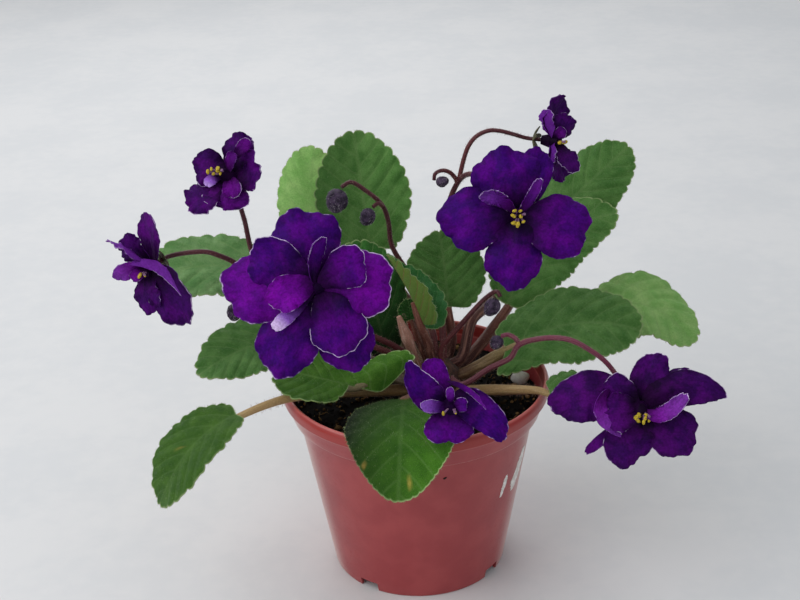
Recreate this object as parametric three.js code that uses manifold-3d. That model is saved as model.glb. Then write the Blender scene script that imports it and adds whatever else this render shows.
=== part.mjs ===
// A potted African violet: a thin plastic nursery pot filled with peat, and a rosette of
// hairy toothed leaves with dark violet ruffled blooms. Millimetres, +Z up. The origin is
// the centre of the pot's base on the surface that it stands on, and -Y is the front.
import * as THREE from 'three';
import { mergeVertices } from 'three/addons/utils/BufferGeometryUtils.js';
import Module from 'manifold-3d';

const wasm = await Module();
wasm.setup();

// Pot
const POT_HEIGHT = 69;
const POT_WALL = 1.2;
const RIM_RADIUS = 45;
const LIP_HEIGHT = 4.5;
const BAND_TOP_RADIUS = 43.9;
const BAND_BOTTOM = 58.2;
const BAND_BOTTOM_RADIUS = 42;
const STEP_HEIGHT = 0.6;
const WALL_TOP_RADIUS = 40;
const BASE_RADIUS = 29.8;
const FOOT_HEIGHT = 3;
const PAD_RADIUS = 6;
const POT_SIDES = 36;
const NOTCH_COUNT = 4;
const NOTCH_WIDTH = 7;
const NOTCH_HEIGHT = 3.2;
const NOTCH_TURN = -36;
const DRAIN_DEPTH = 5;

// Soil, pebble and crown
const GAP = 0.3;
const SOIL_TOP = 61.5;
const SOIL_RELIEF = 0.6;
const SOIL_RINGS = [0.8, 0.55, 0.3];
const PEBBLE_CENTRE = [36, 6.6, 63.4];
const PEBBLE_RADII = [3.2, 2.6, 2.3];
const CROWN_AT = new THREE.Vector3(7, -1, 0);
const CROWN_FOOT = 54;
const CROWN_PROFILE = [[5, 54], [5.6, 60], [7.4, 63], [8, 68], [7.2, 72], [4.6, 74.6]];
const CROWN_TOP = 75.4;
const CROWN_SIDES = 18;
const TIER_HEIGHTS = [64.6, 68.4, 72.3];

// Leaves
const LEAF_THICKNESS = 0.8;
const LEAF_POINTS = 22;
const LEAF_RINGS = [0.5, 1];
const LEAF_CENTRE = 0.44;
const TOOTH_DEPTH = 0.4;
const LOBE_AT = 0.5;
const LOBE_SPREAD = 0.1;
const RIPPLE_COUNT = 5;
const CREST_REACH = [15, 4.5];
const PETIOLE_SIDES = 5;
const PETIOLE_STEPS = 6;
const MIDRIB_REACH = 0.3;

// Blooms, stalks and buds
const PETAL_THICKNESS = 0.7;
const PETAL_POINTS = 8;
const PETAL_RINGS = [0.62, 1];
const SMALL_PETAL = 10;
const SMALL_PETAL_RINGS = [1];
const PETAL_CENTRE = 0.55;
const PETAL_RUFFLE = 0.06;
const PETAL_PHASE = 1.7;
const PETAL_TAPER = 0.28;
const PETAL_WAVE = 0.03;
const VIEW_TILT = 25.28;
const HUB_RADII = [1.5, 2.4];
const HUB_BACK = 3.6;
const HUB_REACH = 0.7;
const ANTHER_RADII = [1.1, 1.7, 1.1];
const ANTHER_SPREAD = 0.8;
const STALK_SIDES = 5;
const STALK_STEPS = 1;
const SEPAL_COUNT = 5;
const CALYX_RADII = [1.6, 4.4];
const CALYX_CUP = 1.6;

const COLOURS = {
  pot: 0x9c3c40,
  soil: 0x17120f,
  pebble: 0xdedad2,
  crown: 0x4a2a22,
  leaf: 0x3f6b2c,
  darkLeaf: 0x27492a,
  petal: 0x3d0f78,
  anther: 0xd9c02c,
  stalk: 0x5b2430,
  bud: 0x3a2b3a,
  stub: 0xb07a68,
};

// Each leaf has the foot, middle and tip of its midrib, the way its upper face looks at
// the foot and at the tip, its width, how far its left and right edges rise, its fold
// along the midrib in degrees, how wide its halves are, how far its lobes reach back and
// how broadly, how high its right lobe is crested, and its petiole: a tier and a bearing
// on the crown or a root point, the points between, and its two radii.
const LEAVES = {
  leaf_front: {
    rib: [[-3.7, -15, 68.4], [-5.2, -43, 74], [-6.8, -58.5, 56.5]],
    up: [[0, -0.3, 1], [0, -1, 0.35]],
    width: 35, rise: [-1.5, -4.2], fold: 0, lobe: [4.5, 7], taper: 0.16, ripple: 0.4,
    petiole: { tier: 0, bearing: 232, via: [], radii: [2.1, 1.9] },
  },
  leaf_front_left: {
    rib: [[-21.7, -14, 73.3], [-33.9, -14, 77], [-46.4, -12, 79.3]],
    up: [[0, -0.4, 0.9], [-0.2, -0.4, 0.9]],
    width: 23.5, rise: [2, 0], fold: 4, lobe: [-1, 18], spread: 0.35, crest: 16,
    taper: 0, ripple: 0.5,
    petiole: { tier: 1, bearing: 206, via: [[-10, -8.4, 73.4]], radii: [1.9, 1.8] },
  },
  leaf_low_left: {
    rib: [[-58.3, -26, 70.4], [-72.8, -34, 62.6], [-82.9, -40, 46.1]],
    up: [[-0.2, -0.2, 0.9], [-0.5, -0.3, 0.8]],
    width: 27, rise: [-1, -1], fold: 10, lobe: [2.5, 2.5], taper: -0.05, ripple: 0.4,
    petiole: { tier: 0, bearing: 196, via: [[-40.6, -18, 71.8]], radii: [2.1, 1.7] },
  },
  leaf_mid_left: {
    rib: [[-43.7, 6, 80.8], [-57.6, 2, 79.5], [-72, -6, 74.4]],
    up: [[0, -0.4, 0.9], [-0.2, -0.4, 0.9]],
    width: 25.5, rise: [-0.5, -0.5], fold: 6, lobe: [3, 3], taper: 0.16, ripple: 0.6,
    petiole: { tier: 1, bearing: 177, via: [[-20, 4, 75.5], [-32, 6, 79]], radii: [1.9, 1.7] },
  },
  leaf_upper_left: {
    rib: [[-52.1, 30, 96.2], [-73.2, 28, 98.9], [-94, 22, 97.4]],
    up: [[0, -0.4, 0.9], [0, -0.4, 0.9]],
    width: 28.5, rise: [-0.5, -0.5], fold: 6, lobe: [4, 4], taper: 0.16, ripple: 0.6,
    petiole: { tier: 2, bearing: 135, via: [[-5.5, 19, 80.5], [-24, 27, 89]], radii: [1.8, 1.7] },
  },
  leaf_back_left: {
    rib: [[-26, 44, 96.9], [-33.9, 50, 114.6], [-32.4, 54, 132.3]],
    up: [[-0.2, -0.8, 0.6], [-0.2, -0.8, 0.6]],
    width: 27, rise: [-1, -1], fold: 0, lobe: [4, 4], taper: 0.16, ripple: 0.6,
    petiole: { tier: 0, bearing: 118, via: [[-6, 21, 75]], radii: [2, 1.7] },
  },
  leaf_back: {
    rib: [[-14.3, 32, 103.2], [-16.5, 42, 120.2], [-19, 50, 139.2]],
    up: [[0, -0.85, 0.5], [0, -0.85, 0.5]],
    width: 33, rise: [1, 1], fold: 8, lobe: [4, 4], taper: 0.16, ripple: 0.6,
    petiole: { tier: 2, bearing: 98, via: [[0, 20, 84]], radii: [1.8, 1.7] },
  },
  leaf_dark: {
    rib: [[-10.4, 9, 75.1], [-14.2, 14, 92.5], [-20.5, 21, 109.6]],
    up: [[0.2, -0.8, 0.55], [0.1, -0.7, 0.7]],
    width: 25, rise: [-1, -1], fold: 0, lobe: [3, 3], taper: -0.1, ripple: 0.4,
    petiole: { tier: 1, bearing: 148, via: [], radii: [1.8, 1.6] },
  },
  leaf_folded: {
    rib: [[2.6, -2, 90.7], [-1.7, 0.5, 101], [-8.3, 5, 111.8]],
    up: [[0.9, -0.1, 0.45], [0.9, -0.1, 0.45]],
    width: 17, halves: [0.76, 1], rise: [0, 0], fold: 70, lobe: [3, 6], spread: 0.3,
    taper: 0.7, ripple: 0.3,
    petiole: { root: [6, -2.6, 72], via: [[5, -2.4, 80]], radii: [1.9, 1.6] },
  },
  leaf_centre_right: {
    rib: [[11.8, 13, 88.3], [11, 17, 100.7], [9.3, 20, 113.4]],
    up: [[0, -0.8, 0.4], [0, -0.8, 0.4]],
    width: 27, rise: [0, 0], fold: 4, lobe: [2, 2], taper: 0.16, ripple: 0.6,
    petiole: { tier: 2, bearing: 60, via: [[12.8, 8.6, 77]], radii: [1.7, 1.6] },
  },
  leaf_upper_right: {
    rib: [[48.5, 42, 106.1], [63.7, 48, 118.4], [77.9, 54, 129.2]],
    up: [[-0.3, -0.7, 0.65], [-0.3, -0.7, 0.65]],
    width: 26, rise: [-0.6, -0.6], fold: 0, lobe: [3, 3], taper: 0.16, ripple: 0.6,
    petiole: {
      tier: 2, bearing: 24, via: [[19.4, 10, 83.5], [24.1, 19, 83.8], [30.8, 31, 84.6]], radii: [1.9, 1.8],
    },
  },
  leaf_mid_right: {
    rib: [[32.8, 21, 84.3], [47.3, 31, 103], [72.1, 36, 111]],
    up: [[-0.3, -0.7, 0.65], [-0.1, -0.6, 0.8]],
    width: 27.5, rise: [-0.6, -1.4], fold: 0, lobe: [0, 2], taper: 0.16, ripple: 0.6,
    petiole: { tier: 1, bearing: 32, via: [], radii: [2, 1.9] },
  },
  leaf_right: {
    rib: [[30.9, 0, 78.4], [54, 4, 84.6], [76, 2, 82.3]],
    up: [[0, -0.5, 0.87], [0, -0.5, 0.87]],
    width: 30, rise: [-0.6, -0.6], fold: 2, lobe: [3, 10], taper: 0, ripple: 0.7,
    petiole: { tier: 1, bearing: 6, via: [], radii: [2.1, 1.9] },
  },
  leaf_far_right: {
    rib: [[66, 22, 78.5], [81.5, 22, 81.8], [96.3, 14, 70.6]],
    up: [[0, -0.4, 0.9], [0.2, -0.3, 0.9]],
    width: 30, rise: [-0.4, -0.4], fold: 2, lobe: [3, 3], taper: 0.16, ripple: 0.8,
    petiole: { tier: 0, bearing: 22, via: [[41, 13, 72.6]], radii: [2, 1.7] },
  },
  leaf_low_right: {
    rib: [[43.4, -19.5, 72.2], [50.7, -21, 72.4], [58.5, -23, 64.4]],
    up: [[0, -0.3, 0.9], [0, -0.4, 0.9]],
    width: 16, rise: [-0.4, -0.4], fold: 4, lobe: [1.5, 1.5], taper: 0.16, ripple: 0.3,
    petiole: { tier: 0, bearing: 333, via: [[39.9, -17.6, 71.5]], radii: [2, 1.8] },
  },
  leaf_small: {
    rib: [[-1, 2.5, 89], [-1.4, 3.5, 92.2], [-1.8, 4.5, 95.5]],
    up: [[0.1, -0.9, 0.4], [0.1, -0.9, 0.4]],
    width: 8, rise: [0, 0], fold: 10, lobe: [0.8, 0.8], taper: 0.16, ripple: 0,
    petiole: { root: [4.4, 0.5, 72.5], via: [], radii: [1, 1] },
  },
};
const DARK_LEAVES = ['leaf_dark', 'leaf_small', 'leaf_back'];

// A pale stub of a petiole on the crown.
const STUB = { path: [[2.6, -4.4, 71], [0, -5, 78], [-5, -4.6, 93.5]], radii: [1, 1.3, 2, 0.8] };

// Each bloom has its centre, the way it faces, the offset of its anthers, and its petals
// from the back ones to the front ones. Offsets from the centre are across, up and near,
// for a viewer who looks down from the front by VIEW_TILT degrees. A petal has the offsets
// of its foot, middle and tip, its width, the way its upper face looks, and how far its
// left and right edges rise. Its taper makes it broader towards its tip.
const BLOOMS = {
  bloom_upper_left: {
    centre: [-58.7, 8, 139.5], face: [-0.7, -0.54, 0.48], anthers: [-3.6, 1.3, 3.4],
    petals: [
      {
        rib: [[0.5, 1, -1.5], [3, 7, -2.5], [5.8, 13.8, -2]],
        width: 11, up: [-0.4, 0, 0.9], rise: [0.5, 0.5],
      },
      {
        rib: [[1, 0, -0.5], [6.5, 1.8, 0.5], [9.6, 4.6, 4.5]],
        width: 16.5, up: [-0.6, 0.1, 0.8], rise: [1.5, 1.5],
      },
      {
        rib: [[-1, 0.3, -0.6], [-5.6, 2.4, 0], [-11, 2.6, -0.8]],
        width: 12, up: [0.2, 0.1, 1], rise: [1, 1],
      },
      {
        rib: [[-0.5, -0.8, -0.3], [-7, -5.4, 0.6], [-13.8, -9.4, 0]],
        width: 11.5, up: [0.1, 0.5, 0.85], rise: [-0.5, -0.5],
      },
      {
        rib: [[0, -1, 0], [-0.6, -6, 1.6], [-1.4, -10.8, 1.4]],
        width: 15, up: [0, 0.4, 0.9], rise: [-0.8, -0.8],
      },
      {
        rib: [[2.2, 5, 1], [5, 8.8, 2.6], [7.8, 10.8, 3]],
        width: 4, up: [-0.3, -0.4, 0.85], rise: [0, 0],
      },
      {
        rib: [[0.3, 0.8, 0.6], [1.4, 4.6, 3], [3, 7, 3.6]],
        width: 4, up: [-0.5, -0.2, 0.8], rise: [0.8, 0.8],
      },
      {
        rib: [[-0.8, 0, 0.6], [-4.6, -0.8, 3], [-6.2, -3.6, 3.4]],
        width: 3.8, up: [0, 0.3, 0.9], rise: [-0.5, -0.5],
      },
      {
        rib: [[0.5, -0.8, 1], [1.4, -3.8, 3], [2, -7.2, 3.2]],
        width: 6.2, up: [-0.1, 0.3, 0.95], rise: [0.8, 0.8],
      },
    ],
  },
  bloom_left: {
    centre: [-84.4, -8, 115], face: [-0.55, -0.65, -0.1], anthers: [-1.6, -2.4, 3.2],
    petals: [
      {
        rib: [[-0.5, 0.8, -1], [-5, 6, -2.2], [-9.2, 9.6, -3]],
        width: 10, up: [-0.5, -0.3, 0.8], rise: [0.5, 0.5],
      },
      {
        rib: [[1.5, 0.8, -0.8], [1, 9.5, -0.5], [-0.8, 17.6, 0.4]],
        width: 11.5, up: [-0.78, 0, 0.62], rise: [0.8, 0.8],
      },
      {
        rib: [[0, -1, 0.6], [-0.8, -7.6, 1.2], [1.6, -14.2, 0.4]],
        width: 9.5, up: [-0.4, 0, 0.9], rise: [0.6, -0.6],
      },
      {
        rib: [[0.6, -0.6, 0.6], [6.6, -8, 2.6], [11.2, -19, 1.4]],
        width: 14, up: [-0.4, -0.1, 0.9], rise: [1, 1.5], taper: 0.1,
      },
      {
        rib: [[-0.5, 1.2, 0.8], [-6.8, 6.2, 1.8], [-13, 9.4, 1]],
        width: 7, up: [-0.2, -0.9, -0.1], rise: [0.5, 0.5], taper: -0.3,
      },
      {
        rib: [[-0.8, 0, 0.6], [-6, -0.4, 2], [-10.8, -3, 1.6]],
        width: 5.6, up: [-0.3, -0.5, 0.8], rise: [0.4, 0.4],
      },
      {
        rib: [[-0.5, -0.6, 1], [-3, -2, 2.4], [-5.4, -3.4, 2.4]],
        width: 4, up: [-0.3, 0, 0.9], rise: [0.4, 0.4],
      },
      {
        rib: [[-5.8, 1.4, 3], [4.4, -0.4, 4.6], [13.4, -11.8, 3]],
        width: 3.9, up: [-0.2, -0.6, -0.75], rise: [0.5, 0.5], taper: 0,
      },
    ],
  },
  bloom_front_left: {
    centre: [-29.4, -30, 116.7], face: [-0.05, -0.93, 0.36], anthers: [-2.4, -1, 2],
    petals: [
      {
        rib: [[0, 1, -1.5], [-3, 12.5, 0.4], [-4.6, 24, -2.5]],
        width: 21.5, up: [0, 0.1, 1], rise: [-2, -2],
      },
      {
        rib: [[0.5, -1, -2], [6.5, -13.5, -1], [12, -25.4, -2.5]],
        width: 17, up: [0, 0.1, 1], rise: [-1.2, -1.2],
      },
      {
        rib: [[-1, 0, -0.8], [-14.5, 0.8, 1.4], [-29.4, -1, -1.8]],
        width: 21.5, up: [0, 0.1, 1], rise: [-2.4, -2.4],
      },
      {
        rib: [[1, 0, -0.8], [11.5, 0.8, 1.6], [23, 0.6, -1]],
        width: 20.5, up: [0, 0.1, 1], rise: [-2.4, -2.4],
      },
      {
        rib: [[-0.5, -1, -0.3], [-8.2, -13.4, 1.4], [-14.1, -26.7, -1.2]],
        width: 18.5, up: [0, 0.1, 1], rise: [-2, -2],
      },
      {
        rib: [[0.5, -1, 1], [5, -10.5, 3.4], [8.3, -20.5, 2]],
        width: 16.5, up: [0, 0.1, 1], rise: [-2.6, -2], taper: 0.4,
      },
      {
        rib: [[-1, 0.5, 1], [-11, 6.5, 3], [-20.5, 10.7, 2.6]],
        width: 14.5, up: [0, 0.1, 1], rise: [-1.6, 1.6], taper: 0.4,
      },
      {
        rib: [[0.5, 0.5, 1.2], [8, 5, 3.6], [14.8, 7.4, 3.4]],
        width: 12.5, up: [0, 0.1, 1], rise: [1.4, -1.6], taper: 0.4,
      },
      {
        rib: [[-0.6, 1, 1.6], [-0.4, 8.9, 3.6], [2.8, 14.7, 3.6]],
        width: 5.6, up: [0.4, 0, 0.9], rise: [2, -1.4], taper: 0.1,
      },
      {
        rib: [[-0.2, 0.6, 1], [-7.5, -1, 5.6], [-14.3, -5.2, 5]],
        width: 10.5, up: [0, 0.1, 1], rise: [0.8, 0.8], taper: 0.4,
      },
      {
        rib: [[-0.8, -0.8, 0.8], [-8.4, -7.8, 3], [-14, -12.4, 4]],
        width: 4.4, up: [0, 0.2, 1], rise: [-0.4, -0.4],
      },
    ],
  },
  bloom_top_right: {
    centre: [47.4, 24, 142.5], face: [0.93, -0.3, -0.05], anthers: [3.2, -0.8, 2.6],
    petals: [
      {
        rib: [[0, 0.8, -0.8], [0.6, 8, -1], [4.8, 14.8, -0.6]],
        width: 11, up: [0.7, -0.3, 0.6], rise: [0.8, 0.8],
      },
      {
        rib: [[0, -0.8, -0.4], [1.6, -7.2, 0.6], [2.6, -13.6, 0.4]],
        width: 11, up: [0.75, 0, 0.65], rise: [0.6, 0.6],
      },
      {
        rib: [[-0.3, 0.6, 0.6], [-1.8, 5.6, 2.4], [-2.8, 10.2, 2.6]],
        width: 7, up: [0.8, -0.1, -0.5], rise: [0.5, 0.5],
      },
      {
        rib: [[0.5, 0.5, 0.4], [3.4, 4, 2], [5.8, 8.4, 2.2]],
        width: 8.5, up: [0.2, -0.5, 0.85], rise: [-0.8, -0.8],
      },
      {
        rib: [[0.5, -0.6, 0.6], [4, -5.6, 2.4], [7.8, -10.4, 2]],
        width: 7.5, up: [0.3, 0.4, 0.85], rise: [0.6, 0.6],
      },
      {
        rib: [[0.4, 0.2, 1], [2.2, 2, 3.2], [4.2, 3.2, 3.6]],
        width: 4, up: [0.2, 0, 0.95], rise: [0.4, 0.4],
      },
      {
        rib: [[0.2, -0.5, 1], [-0.6, -4, 2.8], [-0.8, -7.6, 3]],
        width: 5, up: [0.8, 0, -0.4], rise: [0.4, 0.4],
      },
    ],
  },
  bloom_right_front: {
    centre: [33.6, -4, 127.6], face: [0.02, -0.92, 0.38], anthers: [0.3, -0.6, 3.8],
    petals: [
      {
        rib: [[0.5, 1, -1.8], [4.8, 11, -1.5], [8.4, 21.5, -2.5]],
        width: 11.5, up: [0, 0.1, 1], rise: [-1, -1],
      },
      {
        rib: [[0, 1, -0.8], [-2.6, 11, 1.2], [-4.8, 21.6, -1.2]],
        width: 21.5, up: [0, 0.1, 1], rise: [-2, -2],
      },
      {
        rib: [[-1, 0, -0.4], [-12, 0, 1.8], [-24, -4, -0.8]],
        width: 20, up: [0, 0.1, 1], rise: [-2.2, -2.2],
      },
      {
        rib: [[1, -0.3, 0], [11.5, -3, 2.2], [22.8, -6.4, -0.4]],
        width: 20, up: [0, 0.1, 1], rise: [-2.2, -2.2],
      },
      {
        rib: [[0, -1, 0.4], [-1.2, -11.5, 1.8], [-3.8, -23, -0.6]],
        width: 17.5, up: [0, 0.1, 1], rise: [-2, -2],
      },
      {
        rib: [[-0.5, 0.5, 1], [-6, 5.2, 3.4], [-11.8, 5.6, 3.6]],
        width: 4.4, up: [0, 0, 1], rise: [-0.5, 2],
      },
      {
        rib: [[0.6, 0.4, 0.8], [4.2, 5.5, 3.6], [7.6, 11.5, 3.4]],
        width: 4.6, up: [0, 0, 1], rise: [2, 0],
      },
    ],
  },
  bloom_low_front: {
    centre: [10.2, -46, 83], face: [0.05, -0.8, 0.6], anthers: [-0.6, -2.2, 3.6],
    petals: [
      {
        rib: [[-0.6, 1, -0.7], [-3.9, 8.4, -1.4], [-6.4, 14.2, -1.8]],
        width: 7.5, up: [0, 0, 1], rise: [-1, -1],
      },
      {
        rib: [[-1, 0.6, -0.3], [-7.6, 3.8, 0.2], [-12.7, 13.8, 1.8]],
        width: 9.5, up: [0.3, -0.1, 0.95], rise: [0.4, 2.2], taper: -0.15,
      },
      {
        rib: [[0.4, 2.4, -0.2], [8.3, -1.6, 1.2], [16.4, -11, 0.8]],
        width: 10.5, up: [-0.1, 0.2, 0.95], rise: [1, 0.3], taper: 0,
      },
      {
        rib: [[0, -0.8, 0.4], [-0.8, -6.6, 1.8], [-1, -11.6, 1]],
        width: 15, up: [0, 0.3, 0.95], rise: [-1, -1],
      },
      {
        rib: [[-0.9, 7.2, 0.6], [5.8, 4, 1.7], [13.2, -4, 0.9]],
        width: 1.8, up: [0, 0.5, 0.85], rise: [0, 0], taper: 0,
      },
      {
        rib: [[-0.6, -0.4, 1.4], [-5, -0.2, 3.2], [-9.3, 0.4, 3.2]],
        width: 4, up: [0, 0.2, 0.95], rise: [0.3, 0.3],
      },
      {
        rib: [[0, 0.6, 1.6], [-0.2, 3, 3.8], [-0.3, 5.8, 4]],
        width: 2.6, up: [0, 0, 1], rise: [0, 0],
      },
      {
        rib: [[0.6, -0.4, 1.6], [2.8, 0.2, 3.8], [4.8, 0.4, 4]],
        width: 4.4, up: [0, 0, 1], rise: [0.3, 0.3],
      },
    ],
  },
  bloom_right: {
    centre: [69.7, -38, 75.4], face: [0.05, -0.85, 0.52], anthers: [0.3, -3, 3.4],
    petals: [
      {
        rib: [[1, 0.8, -1.4], [9.5, 6.6, -1.6], [17.4, 10, -2]],
        width: 7.5, up: [0, 0, 1], rise: [-1, -1],
      },
      {
        rib: [[1, 1, -1], [3.4, 9.4, -0.4], [8.4, 16, -0.8]],
        width: 12, up: [0, 0.1, 1], rise: [-0.8, -0.8], taper: 0,
      },
      {
        rib: [[-1, 0.3, -0.6], [-14, 4.6, 0.8], [-27.4, -0.4, -1.6]],
        width: 16, up: [0, 0.2, 0.95], rise: [-1.8, -1.8], taper: 0.15,
      },
      {
        rib: [[-1, -0.8, -0.9], [-9.4, -7.4, -0.8], [-17.6, -13.8, -1]],
        width: 3.6, up: [0, 0.1, 1], rise: [0, 0],
      },
      {
        rib: [[1.2, 0.4, -0.2], [13.5, 6, 1.4], [26.4, 2.6, -0.4]],
        width: 11.5, up: [0, 0.1, 1], rise: [-1.4, -1.4], taper: -0.1,
      },
      {
        rib: [[0.8, -0.8, -0.2], [8.6, -6.6, 1.2], [16, -13.2, -0.6]],
        width: 15.5, up: [0, 0.1, 1], rise: [-1.4, -1.4],
      },
      {
        rib: [[-0.3, -1, 0.4], [-3.6, -9.2, 1.6], [-1.8, -17.2, 0]],
        width: 16, up: [0, 0.1, 1], rise: [-1.6, -1.6],
      },
      {
        rib: [[-0.6, 0.6, 0.8], [-6, 5.4, 2], [-10.8, 9, 1.6]],
        width: 9, up: [0, 0.1, 1], rise: [-0.6, 0.8],
      },
      {
        rib: [[-0.5, -0.2, 1.2], [-6, -0.8, 3], [-12, -0.8, 3.4]],
        width: 12, up: [0, 0.1, 1], rise: [1, 1],
      },
      {
        rib: [[-9.6, 6.2, 2.6], [-12.8, -0.6, 4.6], [-6.6, -8, 3]],
        width: 5, up: [0.5, 0, 0.85], rise: [0, 0], taper: 0,
      },
      {
        rib: [[0.2, -0.3, 0.8], [6.4, -1.8, 4.4], [14.2, 4.6, 3.6]],
        width: 5, up: [0, 0.4, 0.9], rise: [1, 0],
      },
    ],
  },
};

// Each stalk has its branches, from the crown outwards. A branch has its points, its two
// radii, and the bloom that it carries if its end has a calyx.
const STALKS = {
  stalk_back: [
    { path: [[9.8, 1.6, 73], [9.7, 4.6, 79.5], [9.6, 14, 87], [11, 23, 94], [12.3, 27, 101],
      [12.7, 27, 116.4], [13.5, 26.5, 121.7], [16.2, 25, 128.6], [18.7, 21, 132.6], [21, 16, 134.4],
      [26, 9, 133.5]], radii: [1.2, 0.75], bloom: 'bloom_right_front' },
    { path: [[16.4, 24.8, 129], [18.1, 25, 136.4], [20, 25, 141.6], [22.6, 24.5, 144.9], [26.6, 24, 146.8],
      [30.5, 24, 146.5], [34.5, 25, 145]], radii: [0.8, 0.65], bloom: 'bloom_top_right' },
    { path: [[16, 25, 128.2], [15.5, 25, 129.7], [13.5, 24.5, 132.3], [10.8, 24, 133.3], [8.5, 23.6, 132.3],
      [8.1, 23.4, 130.2]], radii: [0.8, 0.6] },
  ],
  stalk_right: [
    { path: [[10.8, -4.6, 71], [15.3, -10, 70.6], [24.4, -12, 77.3], [30.8, -14, 81.9], [33.6, -15.5, 87.3],
      [41.6, -19, 91.3], [49.1, -23, 92.4], [55.4, -24, 89.1], [60.4, -25.5, 85.4], [65.5, -26.5, 78]],
    radii: [1, 0.75], bloom: 'bloom_right' },
    { path: [[34, -15.2, 86.6], [32.6, -13.8, 88.8], [30.2, -12, 89.4], [28.2, -11.4, 88.6]],
      radii: [0.8, 0.7] },
  ],
  stalk_centre: [
    { path: [[7, 1.8, 73], [6.8, 4.4, 79.5], [5, 13.8, 84.5], [1.6, 21.5, 92], [-6.6, 27, 105.1],
      [-7.7, 27, 114.8], [-9.6, 26, 120.8], [-15.1, 24, 127.1], [-19.9, 22, 130.9], [-22.8, 20, 129.9]],
    radii: [1.1, 0.7] },
    { path: [[-9.4, 26, 120.4], [-10.9, 24, 122.2], [-12.6, 22.5, 121.6]], radii: [0.7, 0.7] },
  ],
  stalk_left: [
    { path: [[2.2, 1.4, 71.5], [-6, 2.4, 78.5], [-20, 3, 86], [-42, 6, 97], [-50, 8, 105], [-53, 8.5, 113],
      [-54.5, 10, 122], [-56, 13, 130]], radii: [1.1, 0.75], bloom: 'bloom_upper_left' },
    { path: [[-17, 2.8, 84.4], [-24, -6, 95], [-28, -14, 106]], radii: [0.9, 0.75],
      bloom: 'bloom_front_left' },
  ],
  stalk_low_left: [
    { path: [[1.6, -1.8, 71.5], [-6, -3.5, 78], [-20, -4.5, 86], [-38, -2, 94], [-50, 1, 104],
      [-58, 2, 111.5],
      [-62.4, 0, 115], [-67, -1, 117.1]], radii: [1.1, 0.75], bloom: 'bloom_left' },
    { path: [[-37, -2.2, 93.4], [-46, -2, 97.6], [-53, -1.4, 99.6], [-57.6, -0.6, 98.4]], radii: [0.9, 0.7] },
  ],
  stalk_front: [
    { path: [[7.2, -6, 71], [8.4, -16, 76.5], [9.4, -29, 79]], radii: [1, 0.75], bloom: 'bloom_low_front' },
  ],
  stalk_bud: [
    { path: [[9.6, -2.6, 73], [8.6, -2.4, 79], [16.8, -3, 90.7], [24.4, -3, 99.2], [27.3, -4.4, 101.4],
      [28.2, -5.8, 100.2]], radii: [1.1, 0.7] },
  ],
};

// Each closed bud has its centre, the way its tip points, and its length and width.
const BUDS = {
  bud_back_left: { centre: [-24.6, 18.6, 125.6], point: [-0.2, -0.3, -0.9], length: 8.2, width: 7.4 },
  bud_back: { centre: [-14.6, 21, 118.6], point: [-0.4, -0.3, -0.8], length: 6.2, width: 5.2 },
  bud_left: { centre: [-59.2, -0.2, 94.6], point: [-0.2, 0, -1], length: 6, width: 5.4 },
  bud_top: { centre: [10.9, 23.2, 129.7], point: [0.95, 0, 0.2], length: 4.4, width: 3.8 },
  bud_crown: { centre: [25.4, -6.6, 96.8], point: [-0.6, -0.2, -0.8], length: 6.4, width: 5.2 },
  bud_right: { centre: [26.6, -11.2, 86.2], point: [-0.5, 0, -0.8], length: 5, width: 4.4 },
};

const vec = (p) => new THREE.Vector3(...p);
const radians = (degrees) => THREE.MathUtils.degToRad(degrees);

// A closed solid from a geometry whose shared corners are merged first.
function solidOf(geometry) {
  const bare = geometry.index ? geometry.clone() : geometry;
  bare.deleteAttribute('normal');
  bare.deleteAttribute('uv');
  const merged = mergeVertices(bare, 1e-4);
  return new wasm.Manifold(new wasm.Mesh({
    numProp: 3,
    vertProperties: new Float32Array(merged.attributes.position.array),
    triVerts: new Uint32Array(merged.index.array),
  }));
}

// The geometry of a solid, with one normal for each face.
function geometryOf(solid) {
  const mesh = solid.getMesh();
  const geometry = new THREE.BufferGeometry();
  geometry.setAttribute('position', new THREE.BufferAttribute(new Float32Array(mesh.vertProperties), 3));
  geometry.setIndex(new THREE.BufferAttribute(new Uint32Array(mesh.triVerts), 1));
  geometry.computeVertexNormals();
  return geometry;
}

function union(solids) {
  return solids.reduce((whole, solid) => whole.add(solid));
}

// A lathe about +Z from [radius, height] pairs.
function latheAboutZ(profile, sides) {
  const points = profile.map(([radius, height]) => new THREE.Vector2(radius, height));
  return new THREE.LatheGeometry(points, sides).rotateX(Math.PI / 2);
}

// A tapered tube of round section along a smooth curve, closed at both ends.
function tube(points, radii, sides, steps) {
  const curve = new THREE.CatmullRomCurve3(points.map((p) => p.clone()), false, 'centripetal');
  const frames = curve.computeFrenetFrames(steps, false);
  const positions = [];
  for (let i = 0; i <= steps; i += 1) {
    const along = i / steps;
    const centre = curve.getPointAt(along);
    const place = along * (radii.length - 1);
    const index = Math.min(Math.floor(place), radii.length - 2);
    const radius = THREE.MathUtils.lerp(radii[index], radii[index + 1], place - index);
    for (let j = 0; j < sides; j += 1) {
      const turn = (j / sides) * 2 * Math.PI;
      const corner = centre.clone();
      corner.addScaledVector(frames.normals[i], radius * Math.cos(turn));
      corner.addScaledVector(frames.binormals[i], radius * Math.sin(turn));
      positions.push(corner);
    }
  }
  const faces = [];
  for (let i = 0; i < steps; i += 1) {
    for (let j = 0; j < sides; j += 1) {
      const a = i * sides + j;
      const b = i * sides + ((j + 1) % sides);
      faces.push([a, b, b + sides], [a, b + sides, a + sides]);
    }
  }
  for (let j = 1; j < sides - 1; j += 1) {
    const last = steps * sides;
    faces.push([0, j + 1, j], [last, last + j, last + j + 1]);
  }
  return meshFrom(positions, faces);
}

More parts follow.
